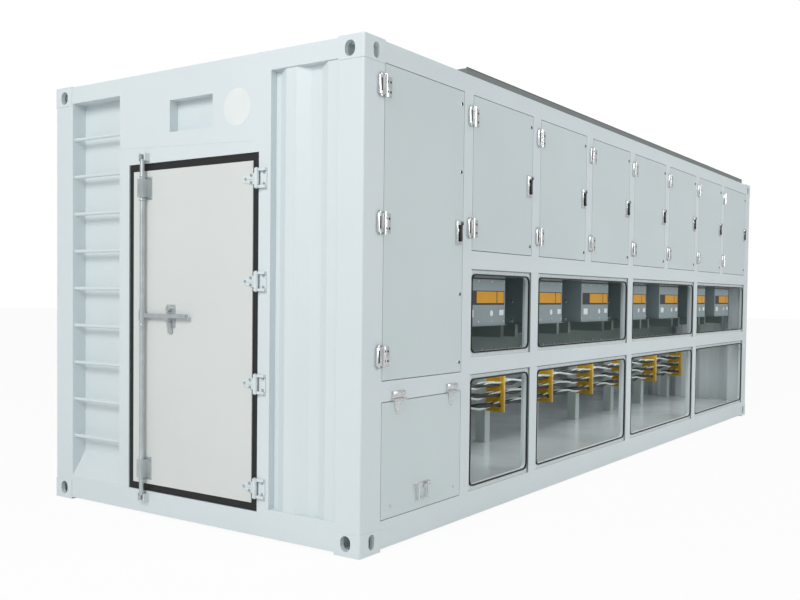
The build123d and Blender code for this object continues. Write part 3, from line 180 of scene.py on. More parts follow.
def dress(node, material):
    """Gives a whole CAD node one surface."""
    mesh = NODES[node].data
    mesh.materials.clear()
    mesh.materials.append(material)
    for face in mesh.polygons:
        face.material_index = 0
    mesh.polygons.foreach_set("use_smooth", [True] * len(mesh.polygons))
    mesh.set_sharp_from_angle(angle=math.radians(CAD_EDGE_ANGLE))


def dress_part(node, faces, material):
    """Gives some faces of a dressed CAD node another surface."""
    mesh = NODES[node].data
    mesh.materials.append(material)
    number = len(mesh.materials) - 1
    for index in faces:
        mesh.polygons[index].material_index = number


# ------------------------------------------------------------------ shapes in mesh code
def upright(axis):
    """Rotation that turns +Z to the given axis."""
    return Vector((0, 0, 1)).rotation_difference(Vector(axis)).to_matrix().to_4x4()


class Shape:
    """Solids gathered into one piece."""

    def __init__(self):
        self.mesh = bmesh.new()

    def block(self, low, high, soften=0.0):
        low, high = Vector(low), Vector(high)
        made = bmesh.ops.create_cube(self.mesh, size=1.0)["verts"]
        size = Matrix.Diagonal((*(high - low), 1.0))
        place = Matrix.Translation((low + high) / 2) @ size
        bmesh.ops.transform(self.mesh, matrix=place, verts=made)
        if soften:
            edges = list({edge for vertex in made for edge in vertex.link_edges})
            bmesh.ops.bevel(self.mesh, geom=edges, offset=soften, segments=2, affect="EDGES", profile=0.5)
        return self

    def cylinder(self, centre, axis, radius, length, sides=24, soften=0.0):
        place = Matrix.Translation(Vector(centre)) @ upright(axis)
        made = bmesh.ops.create_cone(self.mesh, cap_ends=True, segments=sides, radius1=radius,
                                     radius2=radius, depth=length, matrix=place)["verts"]
        if soften:
            rims = {edge for vertex in made for edge in vertex.link_edges
                    if any(len(face.verts) > 4 for face in edge.link_faces)}
            bmesh.ops.bevel(self.mesh, geom=list(rims), offset=soften, segments=2,
                            affect="EDGES", profile=0.5)
        return self

    def dome(self, centre, axis, radius, height, sides=16):
        """A shallow round head standing on a face, with a flat foot."""
        size = Matrix.Diagonal((radius, radius, height, 1.0))
        place = Matrix.Translation(Vector(centre)) @ upright(axis) @ size
        rings = 4
        layers = []
        for ring in range(rings):
            angle = math.pi / 2 * ring / rings
            layer = []
            for i in range(sides):
                turn = 2 * math.pi * i / sides
                across = math.cos(angle)
                point = Vector((across * math.cos(turn), across * math.sin(turn), math.sin(angle)))
                layer.append(self.mesh.verts.new(place @ point))
            layers.append(layer)
        tip = self.mesh.verts.new(place @ Vector((0, 0, 1)))
        for below, above in zip(layers, layers[1:]):
            for i in range(sides):
                j = (i + 1) % sides
                self.mesh.faces.new((below[i], below[j], above[j], above[i]))
        for i in range(sides):
            self.mesh.faces.new((layers[-1][i], layers[-1][(i + 1) % sides], tip))
        self.mesh.faces.new(list(reversed(layers[0])))
        return self

    def ring(self, centre, axis, radius, thick, sides=32, round_sides=10):
        """A round torus lying across its axis."""
        place = Matrix.Translation(Vector(centre)) @ upright(axis)
        loops = []
        for i in range(sides):
            turn = 2 * math.pi * i / sides
            out = Vector((math.cos(turn), math.sin(turn), 0))
            loop = []
            for k in range(round_sides):
                small = 2 * math.pi * k / round_sides
                point = out * (radius + thick * math.cos(small)) + Vector((0, 0, thick * math.sin(small)))
                loop.append(self.mesh.verts.new(place @ point))
            loops.append(loop)
        for i in range(sides):
            for k in range(round_sides):
                a, b = loops[i], loops[(i + 1) % sides]
                m = (k + 1) % round_sides
                self.mesh.faces.new((a[k], b[k], b[m], a[m]))
        return self

    def tube(self, points, radius, sides=10):
        """A round tube along points, closed at both ends."""
        points = [Vector(p) for p in points]
        loops = []
        side = None
        for i, point in enumerate(points):
            ahead = (points[min(i + 1, len(points) - 1)] - points[max(i - 1, 0)]).normalized()
            if side is None:
                side = ahead.orthogonal().normalized()
            side = (side - ahead * side.dot(ahead)).normalized()
            other = ahead.cross(side)
            loop = []
            for k in range(sides):
                turn = 2 * math.pi * k / sides
                out = side * math.cos(turn) + other * math.sin(turn)
                loop.append(self.mesh.verts.new(point + out * radius))
            loops.append(loop)
        for a, b in zip(loops, loops[1:]):
            for k in range(sides):
                m = (k + 1) % sides
                self.mesh.faces.new((a[k], a[m], b[m], b[k]))
        self.mesh.faces.new(list(reversed(loops[0])))
        self.mesh.faces.new(loops[-1])
        return self

    def prism(self, outline, lift):
        """A flat outline of points raised by a vector."""
        lift = Vector(lift)
        low = [self.mesh.verts.new(Vector(p)) for p in outline]
        high = [self.mesh.verts.new(Vector(p) + lift) for p in outline]
        count = len(outline)
        self.mesh.faces.new(list(reversed(low)))
        self.mesh.faces.new(high)
        for i in range(count):
            j = (i + 1) % count
            self.mesh.faces.new((low[i], low[j], high[j], high[i]))
        return self

    def hexagon(self, centre, axis, across, height):
        return self.cylinder(centre, axis, across / math.sqrt(3), height, sides=6, soften=across * 0.04)

    def piece(self, name, material, body, slot):
        """Turns the gathered solids into an object that rides on a body."""
        bmesh.ops.recalc_face_normals(self.mesh, faces=self.mesh.faces)
        mesh = bpy.data.meshes.new(name)
        self.mesh.to_mesh(mesh)
        self.mesh.free()
        mesh.materials.append(material)
        mesh.polygons.foreach_set("use_smooth", [True] * len(mesh.polygons))
        mesh.set_sharp_from_angle(angle=math.radians(PIECE_EDGE_ANGLE))
        made = bpy.data.objects.new(name, mesh)
        bpy.context.scene.collection.objects.link(made)
        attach(made, body)
        return made


def arc_points(points, steps=8):
    """Points along a smooth line through the given ones."""
    points = [Vector(p) for p in points]
    ends = [points[0] * 2 - points[1]] + points + [points[-1] * 2 - points[-2]]
    line = []
    for a, b, c, d in zip(ends, ends[1:], ends[2:], ends[3:]):
        for i in range(steps):
            t = i / steps
            line.append(0.5 * ((2 * b) + (c - a) * t + (2 * a - 5 * b + 4 * c - d) * t ** 2
                               + (3 * b - a - 3 * c + d) * t ** 3))
    line.append(points[-1])
    return line


# ------------------------------------------------------------------ CAD nodes' surfaces
def dress_nodes():
    plain = {
        SHELL: ["corner_castings", "corner_posts", "bottom_frame", "top_frame", "door_end_frame",
                "end_recesses", "ladder_rungs", "end_corrugated_panel", "side_frame", "window_frames",
                "main_door_hinge_blades", "frame_hardware", "back_wall", "far_end_wall", "roof_panel"],
        FLOOR: ["floor_plate"],
        RUBBER: ["window_seals", "main_door_seal"],
        LEAF: ["main_door_leaf"],
        STEEL: ["rod_guides", "lock_rod", "lock_handle", "handle_hasp"],
        CHROME: ["side_hinge_leaves", "hatch_bail"],
        FRAME: ["support_frame"],
        MODULE: ["resistor_casings", "terminal_boxes", "fan_ducts", "control_cabinet"],
        ELEMENT: ["resistor_elements"],
        BOARD: ["insulating_boards"],
        SLEEVE: ["busbars"],
        COPPER: ["supply_terminals"],
        LOUVRE: ["exhaust_louvres", "exhaust_coaming"],
        LEVER: ["tall_door_lever"] + [f"upper_lever_{i + 1}" for i in range(MODULES)],
        ALUMINIUM: [f"fan_rotor_{i + 1}" for i in range(MODULES)],
        SIDE_LEAF: ["tall_door", "cable_hatch"] + [f"upper_door_{i + 1}" for i in range(MODULES)],
    }
    for material, names in plain.items():
        for name in names:
            dress(name, material)


def dress_door_hardware():
    """Hinge leaves, lock housings and handle ears on the painted leaves are bright metal."""
    for node in ["tall_door", "cable_hatch"] + [f"upper_door_{i + 1}" for i in range(MODULES)]:
        bright = []
        for _, _, faces in islands(node)[1:]:
            bright += faces
        dress_part(node, bright, CHROME)


def dress_inside():
    """Posts and the cross wall are paler than the beams, breakers dark, capping strips brown."""
    bright = []
    for low, high, faces in islands("support_frame"):
        if low.z < FLOOR_TOP + 0.01 and high.x - low.x < 0.2:
            bright += faces
    dress_part("support_frame", bright, POST)
    wall = [faces for low, high, faces in islands("support_frame") if high.x - low.x < 0.01]
    dress_part("support_frame", sum(wall, []), LINING)
    dark = []
    for low, high, faces in islands("control_cabinet"):
        if high.x - low.x < 0.2:
            dark += faces
    dress_part("control_cabinet", dark, BREAKER)
    strips = [faces for low, high, faces in islands("exhaust_louvres") if high.x - low.x > 1.0]
    dress_part("exhaust_louvres", sum(strips, []), TRIM)


dress_nodes()
dress_door_hardware()
dress_inside()


# ------------------------------------------------------------------ side hinges
HINGE_LEAF = 0.007         # thickness of a moving hinge leaf
HINGE_BLOCK = 0.016        # depth of a fixed hinge block
LOCK_PLATE = 0.010         # depth of the lock's housing
FASTENER_INSET = 0.026     # flush fastener's centre from the leaf's free edge


def hinge_screws(shape, low, high, columns, rows, out):
    """Countersunk-looking domes spread over a hinge leaf."""
    for i in range(columns):
        for j in range(rows):
            x = low.x + (high.x - low.x) * (i + 0.5) / columns
            z = low.z + (high.z - low.z) * (j + 0.5) / rows
            shape.dome((x, out, z), (0, -1, 0), 0.0065, 0.0022, sides=14)


def side_hinges():
    """A block with a dark slot over each fixed leaf, and a round boss above and below it."""
    blocks = Shape()
    slots = Shape()
    screws = Shape()
    axes = [joint_place(name).x for name in JOINTS if name.endswith("_hinge")]
    for low, high, _ in islands("side_hinge_leaves"):
        lying = high.x - low.x > high.z - low.z
        middle = (low + high) / 2
        face = SIDE_FACE
        if lying:
            blocks.block((low.x + 0.004, face - 0.014, middle.z), (high.x - 0.004, face, high.z - 0.002),
                         soften=0.003)
            screws.dome((middle.x - 0.035, face - 0.014, high.z - 0.016), (0, -1, 0), 0.006, 0.002)
            screws.dome((middle.x + 0.035, face - 0.014, high.z - 0.016), (0, -1, 0), 0.006, 0.002)
            continue
        right = min(axes, key=lambda x: abs(x - high.x + 0.009)) - 0.012
        left = low.x - 0.010
        blocks.block((left, face - HINGE_BLOCK, low.z + 0.010), (right, face, high.z - 0.010), soften=0.003)
        slots.block((left + 0.009, face - 0.0166, low.z + 0.026),
                    (left + 0.021, face - 0.015, high.z - 0.026))
        for z in (low.z + 0.006, high.z - 0.006):
            screws.cylinder(((left + right) / 2, face - 0.008, z), (0, -1, 0), 0.010, 0.014, soften=0.002)
    blocks.piece("side_hinge_blocks", CHROME, "shell", "chrome")
    slots.piece("side_hinge_slots", RUBBER, "shell", "seal_rubber")
    screws.piece("side_hinge_screws", ZINC, "shell", "chrome")


def leaf_hardware(node, body, title):
    """Screws of a leaf's hinges, its flush fasteners and its lock's rim."""
    solids = islands(node)
    leaf_low, leaf_high = solids[0][0], solids[0][1]
    face = SIDE_FACE
    screws = Shape()
    rims = Shape()
    barrels = Shape()
    darks = Shape()
    leaves = Shape()
    for low, high, _ in solids[1:]:
        width, height = high.x - low.x, high.z - low.z
        if low.x < leaf_low.x + 0.02 and height < 0.1:
            near_edge, far_edge = low.x + 0.020, high.x + 0.016
            front = face - HINGE_LEAF
            leaves.block((near_edge, front, low.z - 0.008), (far_edge, face, high.z + 0.008), soften=0.002)
            foot = Vector((near_edge, face, low.z - 0.006))
            head = Vector((far_edge, face, high.z + 0.006))
            hinge_screws(darks, foot, head, 2, 2, front)
        elif abs(height - 0.137) < 0.01 and width < 0.1:
            centre = (low + high) / 2
            front = face - LOCK_PLATE
            barrels.block((low.x + 0.004, front - 0.004, low.z + 0.004),
                          (centre.x - 0.017, front, high.z - 0.004), soften=0.0018)
            rims.cylinder((low.x + 0.014, front - 0.003, centre.z + 0.012), (0, -1, 0), 0.010, 0.006,
                          soften=0.0012)
            for z in (low.z + 0.012, high.z - 0.008):
                screws.dome((high.x - 0.009, front, z), (0, -1, 0), 0.004, 0.0016, sides=12)
            screws.dome((low.x + 0.009, front - 0.004, low.z + 0.018), (0, -1, 0), 0.004, 0.0016, sides=12)
    near = leaf_high.x - FASTENER_INSET
    heights = [leaf_low.z + 0.056, leaf_high.z - 0.072]
    if leaf_high.z - leaf_low.z > 1.2:
        heights += [leaf_low.z + 0.446, leaf_high.z - 0.458]
    for z in heights:
        rims.cylinder((near, face - 0.0012, z), (0, -1, 0), 0.0125, 0.0024, soften=0.0008)
        darks.cylinder((near, face - 0.0034, z), (0, -1, 0), 0.0085, 0.0020, sides=20)
    screws.piece(f"{title}_screws", ZINC, body, "chrome")
    rims.piece(f"{title}_rims", CHROME, body, "chrome")
    darks.piece(f"{title}_sockets", RUBBER, body, "lever_plastic")
    leaves.piece(f"{title}_hinge_leaves", CHROME, body, "chrome")
    if barrels.mesh.verts:
        barrels.piece(f"{title}_lock_plate", CHROME, body, "chrome")


def lever_grip(node, body, title):
    """Moulded lever with a waist and a lip to lift it by, in place of the plain bar."""
    low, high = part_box(node)
    front, back = low.y, high.y
    middle = (low.x + high.x) / 2
    half = (high.x - low.x) / 2
    deep = back - front
    outline = [(middle - half, back, high.z - deep / 2), (middle - half * 0.72, back, (low.z + high.z) / 2),
               (middle - half * 0.95, back, low.z + 0.012), (middle - half * 0.6, back, low.z),
               (middle + half * 0.6, back, low.z), (middle + half * 0.95, back, low.z + 0.012),
               (middle + half * 0.72, back, (low.z + high.z) / 2), (middle + half, back, high.z - deep / 2)]
    grip = Shape().prism(outline, (0, -(deep - 0.003), 0))
    grip.block((middle - half * 0.5, front, low.z), (middle + half * 0.5, front + 0.004, low.z + 0.02),
               soften=0.001)
    grip.cylinder((middle, (front + back) / 2, high.z - deep / 2), (1, 0, 0), deep / 2, 2 * half, sides=20)
    made = grip.piece(title, LEVER, body, "lever_plastic")
    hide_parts(node)


def side_doors():
    side_hinges()
    leaf_hardware("tall_door", "tall_side_door", "tall_door")
    lever_grip("tall_door_lever", "tall_lever", "tall_lever_grip")
    for i in range(MODULES):
        leaf_hardware(f"upper_door_{i + 1}", f"upper_door_{i + 1}", f"upper_door_{i + 1}")
        lever_grip(f"upper_lever_{i + 1}", f"lever_{i + 1}", f"lever_grip_{i + 1}")


def hatch_fittings():
    """Screws on the hatch's pointed hinge leaves, its two lower fasteners and the bail's back plate."""
    screws = Shape()
    plate = Shape()
    solids = islands("cable_hatch")
    leaf_low, leaf_high = solids[0][0], solids[0][1]
    for low, high, _ in solids[1:]:
        if high.z > leaf_high.z:
            middle = (low.x + high.x) / 2
            for x in (middle - 0.018, middle + 0.018):
                screws.dome((x, SIDE_FACE - 0.005, high.z - 0.034), (0, -1, 0), 0.0055, 0.002)
            screws.dome((middle, SIDE_FACE - 0.005, low.z + 0.022), (0, -1, 0), 0.0055, 0.002)
    for x in (leaf_low.x + 0.084, leaf_high.x - 0.070):
        screws.dome((x, SIDE_FACE, leaf_low.z + 0.060), (0, -1, 0), 0.008, 0.004)
    low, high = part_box("hatch_bail")
    plate.block((low.x - 0.006, SIDE_FACE - 0.003, high.z - 0.030),
                (high.x + 0.006, SIDE_FACE, high.z + 0.006), soften=0.001)
    screws.piece("hatch_screws", ZINC, "hatch", "chrome")
    plate.piece("hatch_bail_plate", CHROME, "hatch", "chrome")


side_doors()
hatch_fittings()


# ------------------------------------------------------------------ door end
RIB_HALF = 0.0035          # half the rib along a hinge strap
HASP_CLEARANCE = 0.09      # bolts nearer than this below the hasp's pivot are left out
DISC_RADIUS = 0.1015
DISC_THICK = 0.0012
DISC_DROP = 0.167          # from the end frame's top to the disc's centre


def main_hinges():
    """Hex bolts on the straps, raised strap ribs, and caps on the pins."""
    bolts = Shape()
    ribs = Shape()
    caps = Shape()
    for low, high, _ in islands("main_door_hinge_blades"):
        middle = (low.z + high.z) / 2
        front = END_FACE - 0.006
        for share, drop in ((0.35, 0.019), (0.35, -0.019), (0.78, 0.0)):
            y = low.y + 0.03 + (high.y - low.y - 0.03) * share
            bolts.hexagon((front - 0.003, y, middle + drop), (-1, 0, 0), 0.014, 0.006)
        ribs.block((front - RIB_HALF, low.y + 0.024, middle - RIB_HALF),
                   (front, high.y - 0.012, middle + RIB_HALF), soften=0.001)
    for low, high, _ in islands("frame_hardware"):
        if high.z - low.z < 0.09:
            continue
        axis = joint_place("main_door_hinge")
        for z in (low.z + 0.002, high.z - 0.002):
            caps.cylinder((axis.x, axis.y, z), (0, 0, 1), 0.0095, 0.004, soften=0.001)
        for z in (low.z + 0.022, high.z - 0.022):
            bolts.hexagon((END_FACE - 0.009, low.y + 0.016, z), (-1, 0, 0), 0.013, 0.006)
    bolts.piece("main_hinge_bolts", ZINC, "main_door", "hardware_steel")
    ribs.piece("main_hinge_ribs", SHELL, "main_door", "shell_paint")
    caps.piece("main_hinge_pin_caps", ZINC, "shell", "hardware_steel")


def lock_fittings():
    """Bolts of the rod's guides, clear of the hasp's swing, the rod's collars and the handle's grip."""
    bolts = Shape()
    pivot = joint_place("hasp_swing")
    for low, high, _ in islands("rod_guides"):
        for y in (low.y + 0.010, high.y - 0.010):
            for z in (low.z + 0.010, high.z - 0.010):
                if math.hypot(y - pivot.y, z - pivot.z) < HASP_CLEARANCE and z < pivot.z + 0.020:
                    continue
                bolts.hexagon((END_FACE - 0.0075, y, z), (-1, 0, 0), 0.011, 0.005)
    bolts.piece("rod_guide_bolts", ZINC, "main_door", "hardware_steel")
    axis = joint_place("lock_bar_turn")
    collars = Shape()
    for low, high, _ in islands("rod_guides"):
        if high.z - low.z < 0.129 or abs((low.y + high.y) / 2 - axis.y) > 0.05:
            continue
        for z in (low.z - 0.004, high.z + 0.004):
            collars.cylinder((axis.x, axis.y, z), (0, 0, 1), 0.0185, 0.007, soften=0.0015)
    low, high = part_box("lock_handle")
    collars.cylinder((axis.x, axis.y, low.z - 0.046), (0, 0, 1), 0.0185, 0.012, soften=0.002)
    collars.piece("rod_collars", STEEL, "lock_bar", "hardware_steel")
    grip = Shape()
    middle = (low.z + high.z) / 2
    x = (low.x + high.x) / 2
    route = [(x, low.y + reach, middle) for reach in (0.11, 0.04, 0.012)]
    grip.tube(arc_points(route), 0.0125, sides=16)
    grip.piece("handle_grip", STEEL, "lock_bar", "hardware_steel")


def weld(shape, start, end, radius):
    """A rippled weld bead from start to end."""
    start, end = Vector(start), Vector(end)
    count = max(4, int((end - start).length / 0.006))
    points = [start.lerp(end, i / count) for i in range(count + 1)]
    uneven = [p + Vector([random.uniform(-1, 1) for _ in range(3)]) * radius * 0.12 for p in points]
    shape.tube(uneven, radius, sides=6)


def end_welds():
    """Fillet welds at the rungs' ends, the seam above the door and the seams along both posts."""
    beads = Shape()
    for low, high, _ in islands("ladder_rungs"):
        x, z = (low.x + high.x) / 2, (low.z + high.z) / 2
        for y in (low.y + 0.001, high.y - 0.001):
            beads.ring((x, y, z), (0, 1, 0), 0.0125, 0.0025, sides=16, round_sides=6)
    seal_low, seal_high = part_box("main_door_seal")
    seam = seal_high.z + 0.085
    weld(beads, (END_FACE, seal_high.y + 0.085, seam + 0.020),
         (END_FACE, seal_low.y + 0.035, seam - 0.020), 0.0016)
    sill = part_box("bottom_frame")[1].z
    for y in (SHELL_LOW.y + 0.162, SHELL_HIGH.y - 0.162):
        weld(beads, (END_FACE, y, sill), (END_FACE, y, SHELL_HIGH.z - 0.12), 0.0010)
    beads.piece("end_welds", SHELL, "shell", "shell_paint")


def end_disc():
    """Plain round plate left blank above the door."""
    door_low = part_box("main_door_leaf")[0]
    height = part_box("door_end_frame")[1].z - DISC_DROP
    centre = (END_FACE - DISC_THICK / 2, door_low.y + 0.118, height)
    disc = Shape().cylinder(centre, (-1, 0, 0), DISC_RADIUS, DISC_THICK, sides=64)
    disc.piece("blank_disc", PLATE, "shell", "shell_paint")


main_hinges()
lock_fittings()
end_welds()
end_disc()


# ------------------------------------------------------------------ windows
def window_rivets():
    """Rivets round each window's set-back sheet."""
    rivets = Shape()
    for low, high, _ in islands("window_frames"):
        face = low.y
        wide, tall = high.x - low.x, high.z - low.z
        across = max(2, round(wide / 0.19))
        for i in range(across + 1):
            x = low.x + 0.05 + (wide - 0.1) * i / across
            for z in (low.z + 0.016, high.z - 0.016):
                rivets.dome((x, face, z), (0, -1, 0), 0.0048, 0.0018, sides=10)
        up = max(2, round(tall / 0.19))
        for i in range(1, up):
            z = low.z + tall * i / up
            for x in (low.x + 0.008, high.x - 0.008):
                rivets.dome((x, face, z), (0, -1, 0), 0.0042, 0.0016, sides=10)
    rivets.piece("window_rivets", ZINC, "shell", "chrome")


def window_edges():
    """Painted highlights as pale strips on the lower and far sides of each set-back, and painted shade as
    dark strips on the ones opposite.
    """
    bright = Shape()
    shaded = Shape()
    for low, high, _ in islands("window_frames"):
        front = SIDE_FACE - 0.0006
        # Pale strips painted as highlights along the set-back's lower edge and one side edge.
        bright.block((low.x, front, low.z - 0.0045), (high.x, front + 0.004, low.z + 0.0010), soften=0.0004)
        bright.block((low.x - 0.0045, front, low.z), (low.x, front + 0.004, high.z), soften=0.0004)
        back = front + 0.006
        # Dark strips painted as shade along the set-back's top edge and the other side edge.
        shaded.block((low.x + 0.001, front + 0.003, high.z - 0.0050), (high.x - 0.001, back, high.z),
                     soften=0.0004)
        shaded.block((high.x - 0.0050, front + 0.003, low.z), (high.x, back, high.z), soften=0.0004)
    # The pale strips are painted highlights and the dark strips painted shade, not wear.
    bright.piece("window_painted_highlights", PLATE, "shell", "shell_paint")
    shaded.piece("window_shaded_edges", FRAME, "shell", "shell_paint")


window_rivets()
window_edges()


# ------------------------------------------------------------------ inside
BOX_RIM = 0.012            # a connection box's rim outside its front
BAND_RISE = 0.130          # from a box's underside to its coloured band
BAND_TALL = 0.088
BOARD_EDGE_DEEP = 0.010    # sawn edge along a board's front
TWIST_PITCH = 0.16         # spacing of a cable's points along a bar
TWIST_STEP = 1.9           # radians that it turns by from one to the next
CABLE_RADIUS = 0.0085
BEAM_BOLT_PITCH = 0.217


def module_fronts():
    """Plain coloured band, blank plates, lid seams and fasteners on each connection box."""
    bands = Shape()
    darks = Shape()
    plates = Shape()
    screws = Shape()
    seams = Shape()
    for low, high, _ in islands("terminal_boxes"):
        left, right = low.x + BOX_RIM, high.x - BOX_RIM
        front = low.y + BOX_RIM
        wide = right - left
        band_low = low.z + BAND_RISE
        band_high = band_low + BAND_TALL
        darks.block((left + 0.024, front - 0.0008, band_low), (right - 0.012, front, band_high))
        split, last = left + wide * 0.30, right - wide * 0.22
        bands.block((split, front - 0.0012, band_low + 0.012), (last, front - 0.0008, band_high - 0.005))
        bands.block((last + 0.010, front - 0.0012, band_low + 0.012),
                    (right - 0.020, front - 0.0008, band_high - 0.005))
        plates.cylinder((right - wide * 0.34, front - 0.0006, low.z + 0.078), (0, -1, 0), 0.019, 0.0012)
        plates.block((right - 0.075, front - 0.0012, low.z + 0.064), (right - 0.020, front, low.z + 0.098))
        plates.block((left + 0.045, front - 0.0012, low.z + 0.055), (left + 0.120, front, low.z + 0.100),
                     soften=0.0004)
        seams.block((left + 0.004, front - 0.002, high.z - 0.028), (right - 0.004, front, high.z - 0.020))
        for share in (0.03, 0.35, 0.67, 0.97):
            for z in (low.z + 0.026, high.z - 0.040):
                screws.dome((left + wide * share, front, z), (0, -1, 0), 0.0065, 0.003, sides=12)
        for z in (low.z + 0.020, low.z + 0.150):
            screws.dome((left, front + 0.128, z), (-1, 0, 0), 0.011, 0.005, sides=14)
    bands.piece("module_bands", BAND, "shell", "board_resin")
    darks.piece("module_band_fields", DARK_BAND, "shell", "lever_plastic")
    plates.piece("module_plates", PLATE, "shell", "shell_paint")
    screws.piece("module_screws", ZINC, "shell", "chrome")
    seams.piece("module_seams", DARK_BAND, "shell", "frame_paint")


def boards():
    """Flat resin boards with a paler sawn front edge, in place of the bent ones."""
    sheets = Shape()
    edges = Shape()
    for low, high, _ in islands("insulating_boards"):
        edge = low.y + BOARD_EDGE_DEEP
        sheets.block((low.x, edge, low.z), (low.x + 0.012, high.y, high.z))
        edges.block((low.x - 0.001, low.y, low.z), (low.x + 0.014, edge, high.z), soften=0.001)
    made = sheets.piece("resin_boards", BOARD, "shell", "board_resin")
    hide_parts("insulating_boards")
    edges.piece("resin_board_edges", BOARD_EDGE, "shell", "board_resin")


def busbar_runs():
    """Slim sleeved bars with twisted cable bundles laced round them, in place of the plain bars."""
    bars = Shape()
    cables = Shape()
    pale = Shape()
    for low, high, _ in islands("busbars"):
        middle = (low + high) / 2
        bars.block((low.x, low.y, middle.z - 0.009), (high.x, high.y, middle.z + 0.009), soften=0.001)
        length = high.x - low.x
        turns = max(2, round(length / TWIST_PITCH))
        for k in range(2):
            route = []
            for i in range(turns + 1):
                x = low.x + length * i / turns
                angle = TWIST_STEP * i + math.pi * k + middle.z * 9
                route.append((x, middle.y + 0.014 * math.cos(angle), middle.z + 0.016 * math.sin(angle)))
            target = pale if k == 0 else cables
            target.tube(arc_points(route, 4), CABLE_RADIUS, sides=7)
    made = bars.piece("sleeved_bars", SLEEVE, "shell", "busbar_sleeve")
    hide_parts("busbars")
    cables.piece("busbar_cables", CABLE, "shell", "busbar_sleeve")
    pale.piece("busbar_pale_cables", POST, "shell", "busbar_sleeve")


def board_fittings():
    """Bolts on both faces of each board, evenly spaced up its height."""
    bolts = Shape()
    for low, high, _ in islands("insulating_boards"):
        for i in range(5):
            z = low.z + (high.z - low.z) * (i + 0.5) / 5
            bolts.hexagon((low.x + 0.022, low.y + 0.014, z), (1, 0, 0), 0.015, 0.014)
            bolts.hexagon((low.x - 0.005, low.y + 0.060, z), (-1, 0, 0), 0.014, 0.010)
    bolts.piece("board_bolts", ZINC, "shell", "chrome")


def beam_bolts():
    """Bolts along the front beam and foot plates under its posts."""
    bolts = Shape()
    feet = Shape()
    for low, high, _ in islands("support_frame"):
        if high.x - low.x > 3 and low.y < 0.0:
            x = low.x + 0.12
            while x < high.x - 0.1:
                bolts.hexagon((x, low.y - 0.004, high.z - 0.030), (0, -1, 0), 0.015, 0.008)
                bolts.hexagon((x, low.y - 0.004, low.z + 0.030), (0, -1, 0), 0.015, 0.008)
                x += BEAM_BOLT_PITCH
        if low.z < FLOOR_TOP + 0.01 and high.x - low.x < 0.2:
            middle = (low + high) / 2
            feet.block((middle.x - 0.034, low.y - 0.004, FLOOR_TOP),
                       (middle.x + 0.034, high.y + 0.004, FLOOR_TOP + 0.005), soften=0.001)
    bolts.piece("beam_bolts", ZINC, "shell", "chrome")
    feet.piece("post_feet", POST, "shell", "frame_paint")


module_fronts()
boards()
busbar_runs()
board_fittings()
beam_bolts()


# ------------------------------------------------------------------ camera, light and floor
def pale_floor():
    """A matt pale floor that reads as white to the camera and keeps a trace of the contact shadow."""
    pale = surface("studio_floor", (0.80, 0.80, 0.80, 1), 0.85, shift=0.004, size=0.3)
    nodes, links = pale.node_tree.nodes, pale.node_tree.links
    path = nodes.new("ShaderNodeLightPath")
    share = nodes.new("ShaderNodeMath")
    share.operation = "MULTIPLY"
    share.inputs[1].default_value = 0.94
    links.new(path.outputs["Is Camera Ray"], share.inputs[0])
    white = nodes.new("ShaderNodeEmission")
    white.inputs["Color"].default_value = (1, 1, 1, 1)
    white.inputs["Strength"].default_value = 1.0        # white on the screen
    mixer = nodes.new("ShaderNodeMixShader")
    links.new(share.outputs[0], mixer.inputs["Fac"])
    links.new(nodes["Principled BSDF"].outputs[0], mixer.inputs[1])
    links.new(white.outputs[0], mixer.inputs[2])
    links.new(mixer.outputs[0], nodes["Material Output"].inputs["Surface"])
    return pale


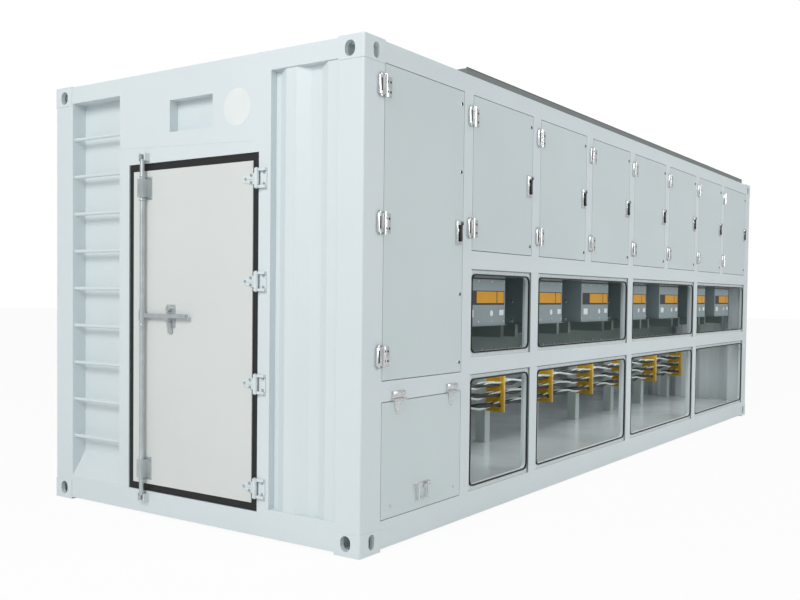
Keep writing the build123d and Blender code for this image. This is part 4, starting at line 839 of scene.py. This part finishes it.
def studio():
    ground = bpy.data.meshes.new("ground")
    reach = 60.0
    signs = ((-1, -1), (1, -1), (1, 1), (-1, 1))
    corners = [(reach * x, reach * y, -0.002) for x, y in signs]
    ground.from_pydata(corners, [], [(0, 1, 2, 3)])
    ground.materials.append(pale_floor())
    floor = bpy.data.objects.new("ground", ground)
    bpy.context.scene.collection.objects.link(floor)

    world = bpy.data.worlds.new("studio")
    bpy.context.scene.world = world
    world.use_nodes = True
    nodes, links = world.node_tree.nodes, world.node_tree.links
    nodes.clear()
    output = nodes.new("ShaderNodeOutputWorld")
    mixer = nodes.new("ShaderNodeMixShader")
    path = nodes.new("ShaderNodeLightPath")
    soft = nodes.new("ShaderNodeBackground")
    soft.inputs["Color"].default_value = (0.96, 0.98, 1.0, 1)
    soft.inputs["Strength"].default_value = 0.50
    white = nodes.new("ShaderNodeBackground")
    white.inputs["Color"].default_value = (1, 1, 1, 1)
    white.inputs["Strength"].default_value = 1.0
    links.new(path.outputs["Is Camera Ray"], mixer.inputs["Fac"])
    links.new(soft.outputs[0], mixer.inputs[1])
    links.new(white.outputs[0], mixer.inputs[2])
    links.new(mixer.outputs[0], output.inputs["Surface"])


def lamp(name, place, target, size, power):
    light = bpy.data.lights.new(name, "AREA")
    light.shape = "DISK"
    light.size = size
    light.energy = power
    made = bpy.data.objects.new(name, light)
    bpy.context.scene.collection.objects.link(made)
    made.location = place
    made.rotation_euler = (Vector(target) - Vector(place)).to_track_quat("-Z", "Y").to_euler()
    return made


def camera():
    """The photograph's viewpoint: just outside the near corner, at chest height."""
    lens = bpy.data.cameras.new("camera")
    lens.sensor_width = 36.0
    lens.lens = 41.98
    lens.shift_x = 0.00675
    lens.shift_y = 0.03125
    lens.clip_end = 200.0
    made = bpy.data.objects.new("camera", lens)
    bpy.context.scene.collection.objects.link(made)
    made.location = (SHELL_LOW.x - 3.6689, SHELL_LOW.y - 2.7373, 1.3109)
    made.rotation_euler = (math.radians(88.18), math.radians(-0.65), math.radians(-55.279))
    bpy.context.scene.camera = made


studio()
lamp("key", (-12.0, -1.5, 6.5), (-3.6, 0.2, 1.2), 5.0, 570)
lamp("low", (2.0, -9.0, 2.4), (1.0, 0.0, 0.5), 4.0, 120)
inside = lamp("inside", (0.4, -0.62, 0.86), (0.4, -0.62, 0.0), 1.0, 17)
inside.data.shape = "RECTANGLE"
inside.data.size, inside.data.size_y = 5.6, 0.5
lamp("fill", (1.0, -12.0, 6.0), (1.0, 0.0, 1.0), 8.0, 250)
camera()
bpy.context.scene.view_settings.view_transform = "Standard"
